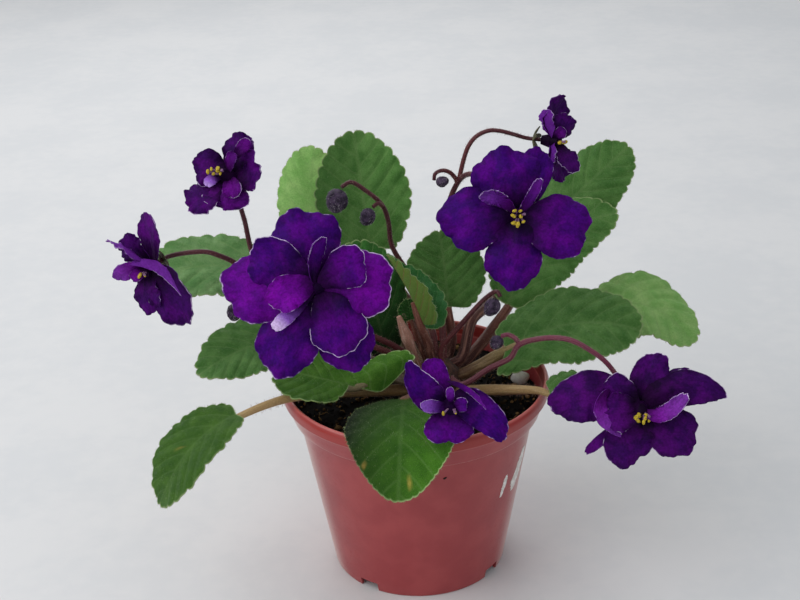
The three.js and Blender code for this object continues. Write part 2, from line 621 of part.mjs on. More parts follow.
function meshFrom(positions, faces) {
  const geometry = new THREE.BufferGeometry();
  const numbers = positions.flatMap((p) => p.toArray());
  geometry.setAttribute('position', new THREE.Float32BufferAttribute(numbers, 3));
  geometry.setIndex(faces.flat());
  return geometry;
}

// A thick sheet from its outline in its own plane: rings of points from the centre to the
// outline, placed in space twice, half a thickness to either side, and joined at the edge.
function sheet(outline, centre, rings, place, thickness) {
  const count = outline.length;
  const flat = [centre.clone()];
  const shares = [0];
  rings.forEach((share) => outline.forEach((point) => {
    flat.push(centre.clone().lerp(point, share));
    shares.push(share);
  }));
  const step = 0.05;
  const normals = flat.map((p, i) => {
    const along = place(p.x + step, p.y, shares[i]).sub(place(p.x - step, p.y, shares[i]));
    const across = place(p.x, p.y + step, shares[i]).sub(place(p.x, p.y - step, shares[i]));
    return along.cross(across).normalize();
  });
  const layer = (offset) => flat.map(
    (p, i) => place(p.x, p.y, shares[i]).addScaledVector(normals[i], offset),
  );
  const positions = [...layer(thickness / 2), ...layer(-thickness / 2)];
  const under = flat.length;
  const faces = [];
  const both = (a, b, c) => faces.push([a, b, c], [a + under, c + under, b + under]);
  for (let i = 0; i < count; i += 1) {
    const next = (i + 1) % count;
    both(0, 1 + i, 1 + next);
    for (let ring = 1; ring < rings.length; ring += 1) {
      const inner = 1 + (ring - 1) * count;
      const outer = inner + count;
      both(inner + i, outer + i, outer + next);
      both(inner + i, outer + next, inner + next);
    }
    const edge = 1 + (rings.length - 1) * count;
    faces.push([edge + i, edge + i + under, edge + next + under]);
    faces.push([edge + i, edge + next + under, edge + next]);
  }
  return meshFrom(positions, faces);
}

// The toothed heart-shaped outline of a leaf, from its tip round to its tip.
function leafOutline(length, leaf) {
  const { width, lobe: lobes, taper, spread = LOBE_SPREAD, halves = [1, 1] } = leaf;
  const outline = [];
  for (let i = 0; i < LEAF_POINTS; i += 1) {
    const turn = (i / LEAF_POINTS) * 2 * Math.PI;
    const fromFoot = Math.PI - Math.abs(turn > Math.PI ? turn - 2 * Math.PI : turn);
    const half = (width / 2) * (turn < Math.PI ? halves[0] : halves[1]);
    const lobe = turn < Math.PI ? lobes[0] : lobes[1];
    const back = lobe * Math.exp(-((fromFoot - LOBE_AT) ** 2) / spread);
    const tooth = fromFoot < LOBE_AT / 2 ? 0 : TOOTH_DEPTH * (i % 2 ? -1 : 1);
    outline.push(new THREE.Vector2(
      (length * (1 + Math.cos(turn))) / 2 - back + tooth * Math.cos(turn),
      half * Math.sin(turn) * (1 - taper * Math.cos(turn)) + tooth * Math.sin(turn),
    ));
  }
  return outline;
}

// The midrib's curve, through the given foot, middle and tip.
function midrib([foot, middle, tip]) {
  const control = vec(middle).multiplyScalar(2).sub(vec(foot).add(vec(tip)).multiplyScalar(0.5));
  return new THREE.QuadraticBezierCurve3(vec(foot), control, vec(tip));
}

// The place in space of a point of the leaf's plane: bent along the midrib, folded
// about it, with its edges raised or hung and its margin rippled.
function leafPlace(leaf, curve, length) {
  const fold = radians(leaf.fold);
  const { crest = 0 } = leaf;
  return (x, y, share) => {
    const t = x / length;
    const within = THREE.MathUtils.clamp(t, 0, 1);
    const tangent = curve.getTangent(within);
    const point = curve.getPoint(within).addScaledVector(tangent, (t - within) * length);
    const up = vec(leaf.up[0]).lerp(vec(leaf.up[1]), within);
    const side = up.cross(tangent).normalize();
    const normal = tangent.clone().cross(side);
    const rise = (y > 0 ? leaf.rise[0] : leaf.rise[1]) * ((2 * y) / leaf.width) ** 2;
    const around = Math.atan2(y, x - length * LEAF_CENTRE);
    const ripple = leaf.ripple * share ** 3 * Math.sin(RIPPLE_COUNT * around);
    const behind = THREE.MathUtils.smoothstep(-x, 0, CREST_REACH[0]);
    const onLobe = behind * THREE.MathUtils.smoothstep(-y, 0.5, CREST_REACH[1]);
    const height = Math.abs(y) * Math.sin(fold) + rise + ripple + crest * onLobe;
    return point.addScaledVector(side, y * Math.cos(fold)).addScaledVector(normal, height);
  };
}

// The points of a petiole, from inside the crown to under the blade's midrib.
function petiolePoints(leaf, curve) {
  const { tier, bearing, root, via } = leaf.petiole;
  const points = [];
  if (root) {
    points.push(vec(root));
  } else {
    const out = new THREE.Vector3(Math.cos(radians(bearing)), Math.sin(radians(bearing)), 0);
    const height = new THREE.Vector3(0, 0, TIER_HEIGHTS[tier]);
    points.push(CROWN_AT.clone().add(height).addScaledVector(out, 4));
    points.push(CROWN_AT.clone().add(height).addScaledVector(out, 9).add(new THREE.Vector3(0, 0, 0.8)));
  }
  via.forEach((p) => points.push(vec(p)));
  const sink = vec(leaf.up[0]).normalize().multiplyScalar(-0.7 * leaf.petiole.radii[1]);
  points.push(curve.getPoint(0).add(sink));
  points.push(curve.getPoint(MIDRIB_REACH).add(sink.clone().multiplyScalar(0.5)));
  return points;
}

function leafSolid(leaf) {
  const curve = midrib(leaf.rib);
  const length = curve.getLength();
  const outline = leafOutline(length, leaf);
  const centre = new THREE.Vector2(length * LEAF_CENTRE, 0);
  const place = leafPlace(leaf, curve, length);
  const blade = sheet(outline, centre, LEAF_RINGS, place, LEAF_THICKNESS);
  const [first, last] = leaf.petiole.radii;
  const stem = tube(petiolePoints(leaf, curve), [first, last, last * 0.5], PETIOLE_SIDES, PETIOLE_STEPS);
  return solidOf(blade).add(solidOf(stem));
}

// A bloom's own directions: to the right, up and towards the way it faces.
function bloomAxes(bloom) {
  const face = vec(bloom.face).normalize();
  const up = new THREE.Vector3(0, 0, 1).addScaledVector(face, -face.z).normalize();
  const right = up.clone().cross(face);
  return { face, up, right };
}

// The direction in space of an offset across, up and near.
function seen([across, up, near]) {
  const tilt = radians(VIEW_TILT);
  return new THREE.Vector3(
    across,
    up * Math.sin(tilt) - near * Math.cos(tilt),
    up * Math.cos(tilt) + near * Math.sin(tilt),
  );
}

// The waved outline of a petal, with its foot first.
function petalOutline(length, width, taper, phase) {
  const outline = [];
  for (let i = 0; i < PETAL_POINTS; i += 1) {
    const phi = (i / PETAL_POINTS) * 2 * Math.PI + Math.PI;
    const wave = 1 + PETAL_WAVE * Math.sin(5 * phi + phase) * (0.5 + 0.5 * Math.cos(phi));
    outline.push(new THREE.Vector2(
      (length * (1 + wave * Math.cos(phi))) / 2,
      (width / 2) * wave * Math.sin(phi) * (1 + taper * Math.cos(phi)),
    ));
  }
  return outline;
}

// One petal of a bloom, bent along its middle line, with its edge ruffled.
function petal(bloom, shape, phase) {
  const { width, rise, taper = PETAL_TAPER } = shape;
  const centre = vec(bloom.centre);
  const curve = midrib(shape.rib.map((offset) => centre.clone().add(seen(offset)).toArray()));
  const length = curve.getLength();
  const place = (x, y, share) => {
    const within = THREE.MathUtils.clamp(x / length, 0, 1);
    const tangent = curve.getTangent(within);
    const point = curve.getPoint(within).addScaledVector(tangent, x - within * length);
    const side = seen(shape.up).cross(tangent).normalize();
    const normal = tangent.clone().cross(side);
    const lift = (y > 0 ? rise[0] : rise[1]) * ((2 * y) / width) ** 2;
    const around = Math.atan2(y, x - length * PETAL_CENTRE);
    const ruffle = PETAL_RUFFLE * width * share ** 3 * Math.sin(5 * around + phase);
    return point.addScaledVector(side, y).addScaledVector(normal, lift + ruffle);
  };
  const outline = petalOutline(length, width, taper, phase);
  const rings = width < SMALL_PETAL ? SMALL_PETAL_RINGS : PETAL_RINGS;
  return sheet(outline, new THREE.Vector2(length * PETAL_CENTRE, 0), rings, place, PETAL_THICKNESS);
}

function antherSolid(bloom, grow) {
  const { face, right } = bloomAxes(bloom);
  const turned = new THREE.Matrix4().lookAt(new THREE.Vector3(), face, new THREE.Vector3(0, 0, 1));
  const lobes = [-1, 1].map((way) => {
    const lobe = new THREE.SphereGeometry(1, 6, 4);
    lobe.scale(ANTHER_RADII[0] + grow, ANTHER_RADII[1] + grow, ANTHER_RADII[2] + grow);
    lobe.applyMatrix4(turned);
    const at = vec(bloom.centre).add(seen(bloom.anthers)).addScaledVector(right, way * ANTHER_SPREAD);
    lobe.translate(at.x, at.y, at.z);
    return solidOf(lobe);
  });
  return lobes[0].add(lobes[1]);
}

function bloomSolid(bloom) {
  const { face } = bloomAxes(bloom);
  const centre = vec(bloom.centre);
  const hubPath = [
    centre.clone().addScaledVector(face, -HUB_BACK),
    centre.clone(),
    centre.clone().addScaledVector(seen(bloom.anthers), HUB_REACH),
  ];
  const hub = tube(hubPath, [...HUB_RADII, HUB_RADII[1] * 0.7], 7, 2);
  const petals = bloom.petals.map((shape, i) => solidOf(petal(bloom, shape, PETAL_PHASE * i)));
  return union([solidOf(hub), ...petals]).subtract(antherSolid(bloom, GAP));
}

// The calyx behind a bloom: a star of pointed sepals, cupped towards the petals.
function calyx(bloom) {
  const { face, up, right } = bloomAxes(bloom);
  const foot = vec(bloom.centre).addScaledVector(face, -HUB_BACK - GAP - PETAL_THICKNESS - CALYX_CUP);
  const outline = [];
  for (let i = 0; i < SEPAL_COUNT * 2; i += 1) {
    const turn = (i / SEPAL_COUNT) * Math.PI;
    const radius = CALYX_RADII[(i + 1) % 2];
    outline.push(new THREE.Vector2(radius * Math.cos(turn), radius * Math.sin(turn)));
  }
  const place = (x, y) => foot.clone().addScaledVector(right, x).addScaledVector(up, y)
    .addScaledVector(face, CALYX_CUP * ((x * x + y * y) / CALYX_RADII[1] ** 2));
  return solidOf(sheet(outline, new THREE.Vector2(), [1], place, PETAL_THICKNESS));
}

function stalkSolid(branches) {
  const parts = [];
  branches.forEach(({ path, radii, bloom }) => {
    const points = path.map(vec);
    if (bloom) {
      const { face } = bloomAxes(BLOOMS[bloom]);
      const centre = vec(BLOOMS[bloom].centre);
      points.push(centre.clone().addScaledVector(face, -HUB_BACK - 5));
      points.push(centre.clone().addScaledVector(face, -HUB_BACK - GAP));
      parts.push(calyx(BLOOMS[bloom]));
    }
    parts.push(solidOf(tube(points, radii, STALK_SIDES, Math.round(points.length * STALK_STEPS))));
  });
  return union(parts);
}

function budGeometry({ centre, point, length, width }) {
  const egg = new THREE.SphereGeometry(1, 8, 6);
  egg.scale(width / 2, length / 2, width / 2);
  const upright = new THREE.Vector3(0, 1, 0);
  const turned = new THREE.Quaternion().setFromUnitVectors(upright, vec(point).normalize());
  egg.applyQuaternion(turned);
  return egg.translate(...centre);
}

function outerRadius(height) {
  return THREE.MathUtils.mapLinear(height, 0, BAND_BOTTOM - STEP_HEIGHT, BASE_RADIUS, WALL_TOP_RADIUS);
}

function potSolid() {
  const lipBottom = POT_HEIGHT - LIP_HEIGHT;
  const floorTop = FOOT_HEIGHT + POT_WALL;
  const wallTop = BAND_BOTTOM - STEP_HEIGHT;
  const profile = [
    [0, 0],
    [PAD_RADIUS, 0],
    [PAD_RADIUS + 0.4, FOOT_HEIGHT],
    [outerRadius(FOOT_HEIGHT) - POT_WALL, FOOT_HEIGHT],
    [BASE_RADIUS - POT_WALL, 0],
    [BASE_RADIUS, 0],
    [WALL_TOP_RADIUS, wallTop],
    [BAND_BOTTOM_RADIUS, BAND_BOTTOM],
    [BAND_TOP_RADIUS, lipBottom - 0.3],
    [RIM_RADIUS - 0.1, lipBottom + 0.1],
    [RIM_RADIUS, POT_HEIGHT - 1.6],
    [RIM_RADIUS - 0.6, POT_HEIGHT - 0.3],
    [RIM_RADIUS - 1.2, POT_HEIGHT],
    [RIM_RADIUS - 1.8, POT_HEIGHT - 0.5],
    [BAND_TOP_RADIUS - POT_WALL, lipBottom],
    [BAND_BOTTOM_RADIUS - POT_WALL, BAND_BOTTOM + 0.4],
    [WALL_TOP_RADIUS - POT_WALL, wallTop - 0.2],
    [outerRadius(floorTop) - POT_WALL, floorTop],
    [0, floorTop],
  ];
  let pot = solidOf(latheAboutZ(profile, POT_SIDES));
  for (let i = 0; i < NOTCH_COUNT; i += 1) {
    const turn = radians(NOTCH_TURN) + (i / NOTCH_COUNT) * 2 * Math.PI;
    const notch = new THREE.BoxGeometry(NOTCH_WIDTH, 6, NOTCH_HEIGHT * 2);
    notch.translate(0, -BASE_RADIUS, 0).rotateZ(turn);
    const drain = new THREE.BoxGeometry(NOTCH_WIDTH, DRAIN_DEPTH, FOOT_HEIGHT);
    drain.translate(0, -BASE_RADIUS + DRAIN_DEPTH / 2 + 2, floorTop - 0.5).rotateZ(turn);
    pot = pot.subtract(solidOf(notch)).subtract(solidOf(drain));
  }
  return pot;
}

function soilHeight(x, y) {
  const broad = Math.sin(0.31 * x + 1.3) * Math.cos(0.27 * y - 0.4);
  const fine = 0.5 * Math.sin(0.9 * x - 0.6 * y);
  return SOIL_TOP + SOIL_RELIEF * (broad + fine);
}

function crownGeometry(grow) {
  const profile = [[0, CROWN_FOOT - grow]];
  CROWN_PROFILE.forEach(([radius, height], i) => {
    profile.push([radius + grow, i === 0 ? height - grow : height + grow * 0.3]);
  });
  profile.push([0, CROWN_TOP + grow]);
  return latheAboutZ(profile, CROWN_SIDES).translate(CROWN_AT.x, CROWN_AT.y, 0);
}

function pebbleGeometry(grow) {
  const pebble = new THREE.SphereGeometry(1, 10, 8).rotateX(Math.PI / 2);
  pebble.scale(...PEBBLE_RADII.map((radius) => radius + grow));
  return pebble.translate(...PEBBLE_CENTRE);
}

function soilSolid() {
  const bottom = FOOT_HEIGHT + POT_WALL + GAP;
  const inwards = POT_WALL + GAP;
  const edge = BAND_BOTTOM_RADIUS - inwards + 0.3;
  const profile = [
    [0, bottom],
    [outerRadius(bottom) - inwards, bottom],
    [WALL_TOP_RADIUS - inwards, BAND_BOTTOM - STEP_HEIGHT - 0.4],
    [BAND_BOTTOM_RADIUS - inwards - 0.1, BAND_BOTTOM + 0.8],
    [edge, SOIL_TOP - 0.4],
    ...SOIL_RINGS.map((share) => [edge * share, SOIL_TOP]),
    [0, SOIL_TOP],
  ];
  const geometry = latheAboutZ(profile, POT_SIDES);
  const position = geometry.attributes.position;
  for (let i = 0; i < position.count; i += 1) {
    if (position.getZ(i) > SOIL_TOP - 0.1) {
      position.setZ(i, soilHeight(position.getX(i), position.getY(i)));
    }
  }
  return solidOf(geometry).subtract(solidOf(crownGeometry(GAP))).subtract(solidOf(pebbleGeometry(GAP)));
}

const group = new THREE.Group();

function addNode(name, solid, colour, roughness) {
  const material = new THREE.MeshStandardMaterial({ color: colour, roughness, metalness: 0 });
  const mesh = new THREE.Mesh(geometryOf(solid), material);
  mesh.name = name;
  group.add(mesh);
}

const crownRoom = solidOf(crownGeometry(GAP));

addNode('pot', potSolid(), COLOURS.pot, 0.45);
addNode('soil', soilSolid(), COLOURS.soil, 1);
addNode('pebble', solidOf(pebbleGeometry(0)), COLOURS.pebble, 0.7);
addNode('crown', solidOf(crownGeometry(0)), COLOURS.crown, 0.8);

Object.entries(LEAVES).forEach(([name, leaf]) => {
  const colour = DARK_LEAVES.includes(name) ? COLOURS.darkLeaf : COLOURS.leaf;
  addNode(name, leafSolid(leaf).subtract(crownRoom), colour, 0.65);
});

const stub = tube(STUB.path.map(vec), STUB.radii, PETIOLE_SIDES, 5);
addNode('stub', solidOf(stub).subtract(crownRoom), COLOURS.stub, 0.7);

Object.entries(STALKS).forEach(([name, branches]) => {
  addNode(name, stalkSolid(branches).subtract(crownRoom), COLOURS.stalk, 0.7);
});

Object.entries(BUDS).forEach(([name, bud]) => {
  addNode(name, solidOf(budGeometry(bud)), COLOURS.bud, 0.8);
});

Object.entries(BLOOMS).forEach(([name, bloom]) => {
  addNode(name, bloomSolid(bloom), COLOURS.petal, 0.6);
  addNode(name.replace('bloom', 'anthers'), antherSolid(bloom, 0), COLOURS.anther, 0.6);
});

export default group;
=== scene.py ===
"""The looks of a potted African violet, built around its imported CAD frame.

Sizes in the classes and lists are millimetres, with +Z up and -Y to the front. The origin
is under the middle of the pot. Every mesh is scaled to metres when it becomes a piece.
"""

import itertools
import logging
import math
from collections.abc import Callable, Iterable
from dataclasses import dataclass, field
from enum import Enum

import bpy
import numpy as np
from mathutils import Matrix, Vector


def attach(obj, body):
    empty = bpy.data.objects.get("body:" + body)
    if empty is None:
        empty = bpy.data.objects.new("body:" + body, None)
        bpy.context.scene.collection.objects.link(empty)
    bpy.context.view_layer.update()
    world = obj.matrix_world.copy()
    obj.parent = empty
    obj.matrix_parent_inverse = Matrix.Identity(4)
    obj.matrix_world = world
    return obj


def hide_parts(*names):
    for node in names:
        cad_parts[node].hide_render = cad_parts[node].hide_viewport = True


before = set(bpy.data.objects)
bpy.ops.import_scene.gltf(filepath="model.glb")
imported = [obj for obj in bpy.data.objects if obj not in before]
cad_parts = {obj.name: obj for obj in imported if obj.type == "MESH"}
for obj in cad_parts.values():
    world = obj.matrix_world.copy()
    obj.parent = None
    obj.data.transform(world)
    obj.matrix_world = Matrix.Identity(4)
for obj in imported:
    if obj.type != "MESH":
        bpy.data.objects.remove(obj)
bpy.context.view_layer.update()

LOG = logging.getLogger("violet")
MM = 0.001
BODY = "root"
SEED = 7
ANY_TURN = 6.28
HAIR_TURNS = (0, 2.0944, 4.18879)

Array = np.ndarray
Chance = np.random.Generator
Pair = tuple[float, float]
Point = tuple[float, float, float]
Colour = tuple[int, int, int]
Material = bpy.types.Material
Node = bpy.types.Node
Socket = bpy.types.NodeSocket
Tree = bpy.types.NodeTree
Value = float | tuple | Socket
Skins = dict[Enum, Material]


class Slot(Enum):
    """The record's material slots."""

    POT = "pot"
    SOIL = "soil"
    PEBBLE = "pebble"
    CROWN = "crown"
    LEAF = "leaf"
    DARK_LEAF = "dark_leaf"
    PETAL = "petal"
    ANTHER = "anther"
    STALK = "stalk"
    BUD = "bud"
    STUB = "stub"


def linear(colour: Colour) -> tuple[float, float, float, float]:
    """The linear RGBA of a colour that is given as it looks on a screen, from 0 to 255."""
    return (*((c / 255 / 12.92) if c < 11 else ((c / 255 + 0.055) / 1.055) ** 2.4 for c in colour), 1.0)


def unit(vectors: Array) -> Array:
    """The vectors, scaled to length one."""
    return vectors / np.maximum(np.linalg.norm(vectors, axis=-1, keepdims=True), 1e-9)


def column(values: Array | float) -> Array:
    """Values as one column, to scale rows of vectors."""
    return np.asarray(values, float)[..., None]


def ease(values: Array, low: float, high: float) -> Array:
    """A smooth step from 0 at low to 1 at high."""
    share = np.clip((values - low) / (high - low), 0, 1)
    return share * share * (3 - 2 * share)


def turns(count: int) -> Array:
    """Even turns round a circle, in radians."""
    return np.arange(count) / count * 2 * math.pi


def upright(radius: Array | float, turn: Array, height: Array | float) -> Array:
    """Points round the upright axis, one row each."""
    x, y, z = np.broadcast_arrays(radius * np.cos(turn), radius * np.sin(turn), height)
    return np.column_stack([x, y, z])


def skin_faces(rows: int, sides: int) -> list[tuple[int, ...]]:
    """The faces of a closed skin round rows of corners.

    Args:
        rows: How many rows of corners come one after the other, each closed on itself.
        sides: How many corners each row has.

    Returns:
        The faces, where the two corners after the rows close the first row and the last.
    """
    end = rows * sides
    faces = []
    for j in range(sides):
        after = (j + 1) % sides
        faces.append((end, after, j))
        faces.append((end + 1, end - sides + j, end - sides + after))
        for row in range(0, end - sides, sides):
            faces.append((row + j, row + after, row + sides + after, row + sides + j))
    return faces


def smooth_path(points: Iterable[Point], steps: int) -> Array:
    """Even points along a smooth curve.

    Args:
        points: The points that the curve passes through.
        steps: How many equal steps it is cut into.

    Returns:
        The points of the curve, one row each.
    """
    known = np.array(list(points), float)
    ends = np.vstack([2 * known[0] - known[1], known, 2 * known[-1] - known[-2]])
    share = np.linspace(0, 1, 24, endpoint=False)[:, None]
    fine = []
    for p0, p1, p2, p3 in zip(ends, ends[1:], ends[2:], ends[3:]):
        d0, d1, d2 = (max(np.linalg.norm(b - a) ** 0.5, 1e-4) for a, b in ((p0, p1), (p1, p2), (p2, p3)))
        leave = ((p1 - p0) / d0 - (p2 - p0) / (d0 + d1) + (p2 - p1) / d1) * d1
        reach = ((p2 - p1) / d1 - (p3 - p1) / (d1 + d2) + (p3 - p2) / d2) * d1
        square = -3 * p1 + 3 * p2 - 2 * leave - reach
        cube = 2 * p1 - 2 * p2 + leave + reach
        fine.append(p1 + leave * share + square * share**2 + cube * share**3)
    line = np.vstack([*fine, known[-1]])
    run = np.concatenate([[0], np.cumsum(np.linalg.norm(np.diff(line, axis=0), axis=1))])
    at = np.linspace(0, run[-1], steps + 1)
    return np.column_stack([np.interp(at, run, line[:, k]) for k in range(3)])


def carried_frames(path: Array) -> tuple[Array, Array]:
    """Two directions across a path at each of its points, carried along without twist.

    Args:
        path: The points of the path.

    Returns:
        The first and the second direction at each point.
    """
    tangents = unit(np.gradient(path, axis=0))
    start = np.eye(3)[np.argmin(np.abs(tangents[0]))]
    across = []
    for tangent in tangents:
        start = start - tangent * (start @ tangent)
        start = start / np.linalg.norm(start)
        across.append(start)
    first = np.array(across)
    return first, np.cross(tangents, first)


@dataclass
class Draft:
    """The corners and faces of a mesh while it grows.

    Each corner carries two triples for the materials. `plane` holds its place along and
    across its own sheet and the side that it is on. `trace` holds how near the margin it
    is, its tone, and a leaf's painted light and shade or how pale a petal is there.
    """

    corners: list[Array] = field(default_factory=list)
    faces: list[tuple[int, ...]] = field(default_factory=list)
    finishes: list[int] = field(default_factory=list)
    plane: list[Array] = field(default_factory=list)
    trace: list[Array] = field(default_factory=list)
    count: int = 0

    def add(
        self,
        corners: Array,
        faces: Array | list,
        plane: Array | None = None,
        trace: Array | None = None,
        finish: int = 0,
    ) -> None:
        """Adds a part to the mesh.

        Args:
            corners: Its corners in millimetres.
            faces: Its faces, as indices into its own corners.
            plane: The plane triple of each corner.
            trace: The trace triple of each corner.
            finish: The number of its material.
        """
        blank = np.zeros((len(corners), 3))
        self.corners.append(np.asarray(corners, float))
        self.plane.append(blank if plane is None else plane)
        self.trace.append(blank if trace is None else trace)
        self.faces.extend(tuple(int(i) + self.count for i in face) for face in faces)
        self.finishes.extend([finish] * len(faces))
        self.count += len(corners)

    def mesh(self, name: str) -> bpy.types.Mesh:
        """The plain mesh, in metres.

        Args:
            name: Its name.

        Returns:
            The mesh, without materials or marks.
        """
        made = bpy.data.meshes.new(name)
        made.from_pydata(np.vstack(self.corners) * MM, [], self.faces)
        return made

    def piece(
        self,
        name: str,
        materials: list[Material],
        slot: Slot | None = None,
        node: str | None = None,
        smooth: bool = True,
        sharp: float = 50,
    ) -> bpy.types.Object:
        """Makes the mesh a piece of the object.

        Args:
            name: The name of the piece.
            materials: The materials that its faces are numbered by.
            slot: The record's material slot, if it has one. It is not used.
            node: The CAD node that it stands for, if it replaces one.
            smooth: Whether its faces are shaded as one curved skin.
            sharp: The angle in degrees from which an edge stays sharp.

        Returns:
            The piece, which rides on the plant's one body.
        """
        mesh = self.mesh(name)
        for mark, rows in (("plane", self.plane), ("trace", self.trace)):
            layer = mesh.attributes.new(mark, "FLOAT_VECTOR", "POINT")
            layer.data.foreach_set("vector", np.vstack(rows).astype(np.float32).ravel())
        for material in materials:
            mesh.materials.append(material)
        mesh.polygons.foreach_set("material_index", self.finishes)
        mesh.polygons.foreach_set("use_smooth", [smooth] * len(self.faces))
        if smooth:
            mesh.set_sharp_from_angle(angle=math.radians(sharp))
        mesh.update()
        return dress(new_object(name, mesh), node)


def new_object(name: str, data: bpy.types.ID) -> bpy.types.Object:
    """A new object in the scene, made of its mesh, camera or light.

    Args:
        name: Its name.
        data: Its mesh, camera or light.

    Returns:
        The object.
    """
    made = bpy.data.objects.new(name, data)
    bpy.context.scene.collection.objects.link(made)
    return made


def dress(made: bpy.types.Object, node: str | None) -> bpy.types.Object:
    """Lets a piece ride on the body and stand for its node.

    Args:
        made: The piece.
        node: The CAD node that it stands for, if it replaces one.

    Returns:
        The same piece.
    """
    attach(made, BODY)
    if node is not None:
        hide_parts(node)
    LOG.info("%s: %d faces", made.name, len(made.data.polygons))
    return made


# Meshes of sheets, tubes and hairs

THINNING = 0.28


@dataclass
class Midrib:
    """The bent middle line of a blade or a petal, through its foot, its middle and its tip."""

    foot: Array
    middle: Array
    tip: Array

    def __post_init__(self) -> None:
        """Works out the curve's control point and length."""
        self.control = self.middle * 2 - (self.foot + self.tip) / 2
        fine = self.at(np.linspace(0, 1, 200))[0]
        self.length = float(np.linalg.norm(np.diff(fine, axis=0), axis=1).sum())

    def at(self, share: Array) -> tuple[Array, Array]:
        """The points of the line and the way that it runs, for shares of its length.

        Args:
            share: The shares of its length.

        Returns:
            The points and the tangents, one row each.
        """
        t = column(share)
        point = (1 - t) ** 2 * self.foot + 2 * t * (1 - t) * self.control + t**2 * self.tip
        return point, unit((1 - t) * (self.control - self.foot) + t * (self.tip - self.control))

    def lay(self, x: Array, faces: tuple[Array, Array]) -> tuple[Array, Array, Array]:
        """The frame of the sheet along its middle line.

        Args:
            x: How far along the line, which goes on straight past its ends.
            faces: The way that the sheet's upper face looks, at the foot and at the tip.

        Returns:
            The points of the line, and the directions to its left and out of its upper face.
        """
        within = np.clip(x / self.length, 0, 1)
        point, tangent = self.at(within)
        point = point + tangent * column(x - within * self.length)
        side = unit(np.cross(faces[0] + (faces[1] - faces[0]) * column(within), tangent))
        return point, side, np.cross(tangent, side)


@dataclass
class Sheet:
    """A thin curved sheet, such as a blade or a petal, grown from its flat outline.

    Attributes:
        outline: The flat outline, one row for each of its points.
        centre: The flat point that its rings grow from.
        place: Gives the points in space for flat points and their shares of the way out.
        length: The length of the sheet, to number the places along it.
        half_width: Half its width, to number the places across it.
        thickness: How thick it is in the middle.
        rings: The shares of the way from the centre to the outline.
    """

    outline: Array
    centre: Array
    place: Callable[[Array, Array, Array], Array]
    length: float
    half_width: float
    thickness: float
    rings: tuple[float, ...]

    def lift(self, flat: Array, shares: Array) -> tuple[Array, Array]:
        """The points in space of flat points, and which way the sheet looks there.

        Args:
            flat: The flat points.
            shares: How much of the way out each one is.

        Returns:
            The points and the normals, one row each.
        """
        step = 0.04
        x, y = flat[:, 0], flat[:, 1]
        along = self.place(x + step, y, shares) - self.place(x - step, y, shares)
        across = self.place(x, y + step, shares) - self.place(x, y - step, shares)
        return self.place(x, y, shares), unit(np.cross(along, across))

    def half_thick(self, shares: Array) -> Array:
        """Half its thickness, which falls off towards the margin."""
        return column(self.thickness * (0.5 - THINNING * shares**3))

    def grow(self, draft: Draft, tone: float | Callable = 0.0, finish: int = 0) -> None:
        """Adds the sheet to a mesh.

        Args:
            draft: The mesh that it becomes part of.
            tone: Its tone, or a function that gives the tone of flat points.
            finish: The number of its material.
        """
        count = len(self.outline)
        rings = [self.centre + (self.outline - self.centre) * share for share in self.rings]
        flat = np.vstack([self.centre[None], *rings])
        shares = np.concatenate([[0.0], np.repeat(self.rings, count)])
        points, normals = self.lift(flat, shares)
        half = self.half_thick(shares)
        marks = np.column_stack([flat[:, 0] / self.length, flat[:, 1] / self.half_width])
        tones = tone(flat) if callable(tone) else np.full(len(flat), tone)
        trace = np.column_stack([shares, tones, np.zeros(len(flat))])
        under = len(flat)
        faces = []
        for i in range(count):
            after = (i + 1) % count
            faces.append((0, 1 + i, 1 + after))
            faces.append((under, under + 1 + after, under + 1 + i))
            for ring in range(1, len(self.rings)):
                inner = 1 + (ring - 1) * count
                outer = inner + count
                faces.append((inner + i, outer + i, outer + after, inner + after))
                faces.append(
                    (under + inner + after, under + outer + after, under + outer + i, under + inner + i)
                )
            edge = 1 + (len(self.rings) - 1) * count
            faces.append((edge + i, edge + i + under, edge + after + under, edge + after))
        draft.add(
            np.vstack([points + normals * half, points - normals * half]),
            faces,
            np.vstack([np.column_stack([marks, np.full(under, side)]) for side in (1.0, -1.0)]),
            np.vstack([trace, trace]),
            finish,
        )

    def scatter(self, count: int, near_edge: float, chance: Chance) -> tuple[Array, Array, Array]:
        """Chosen places on both faces of the sheet.

        Args:
            count: How many places.
            near_edge: The least share of the way out that a place has.
            chance: The source of chance.

        Returns:
            The points, the way that the face looks at each, and the way out to the margin.
        """
        at = chance.integers(0, len(self.outline), count)
        shares = np.sqrt(near_edge**2 + (1 - near_edge**2) * chance.random(count))
        flat = self.centre + (self.outline[at] - self.centre) * column(shares)
        points, normals = self.lift(flat, shares)
        further = self.centre + (self.outline[at] - self.centre) * column(shares * 1.02 + 0.01)
        out = unit(self.lift(further, shares)[0] - points)
        side = column(np.where(chance.random(count) < 0.6, 1.0, -1.0))
        reach = self.half_thick(shares)
        return points + normals * side * reach * 0.8, normals * side, out


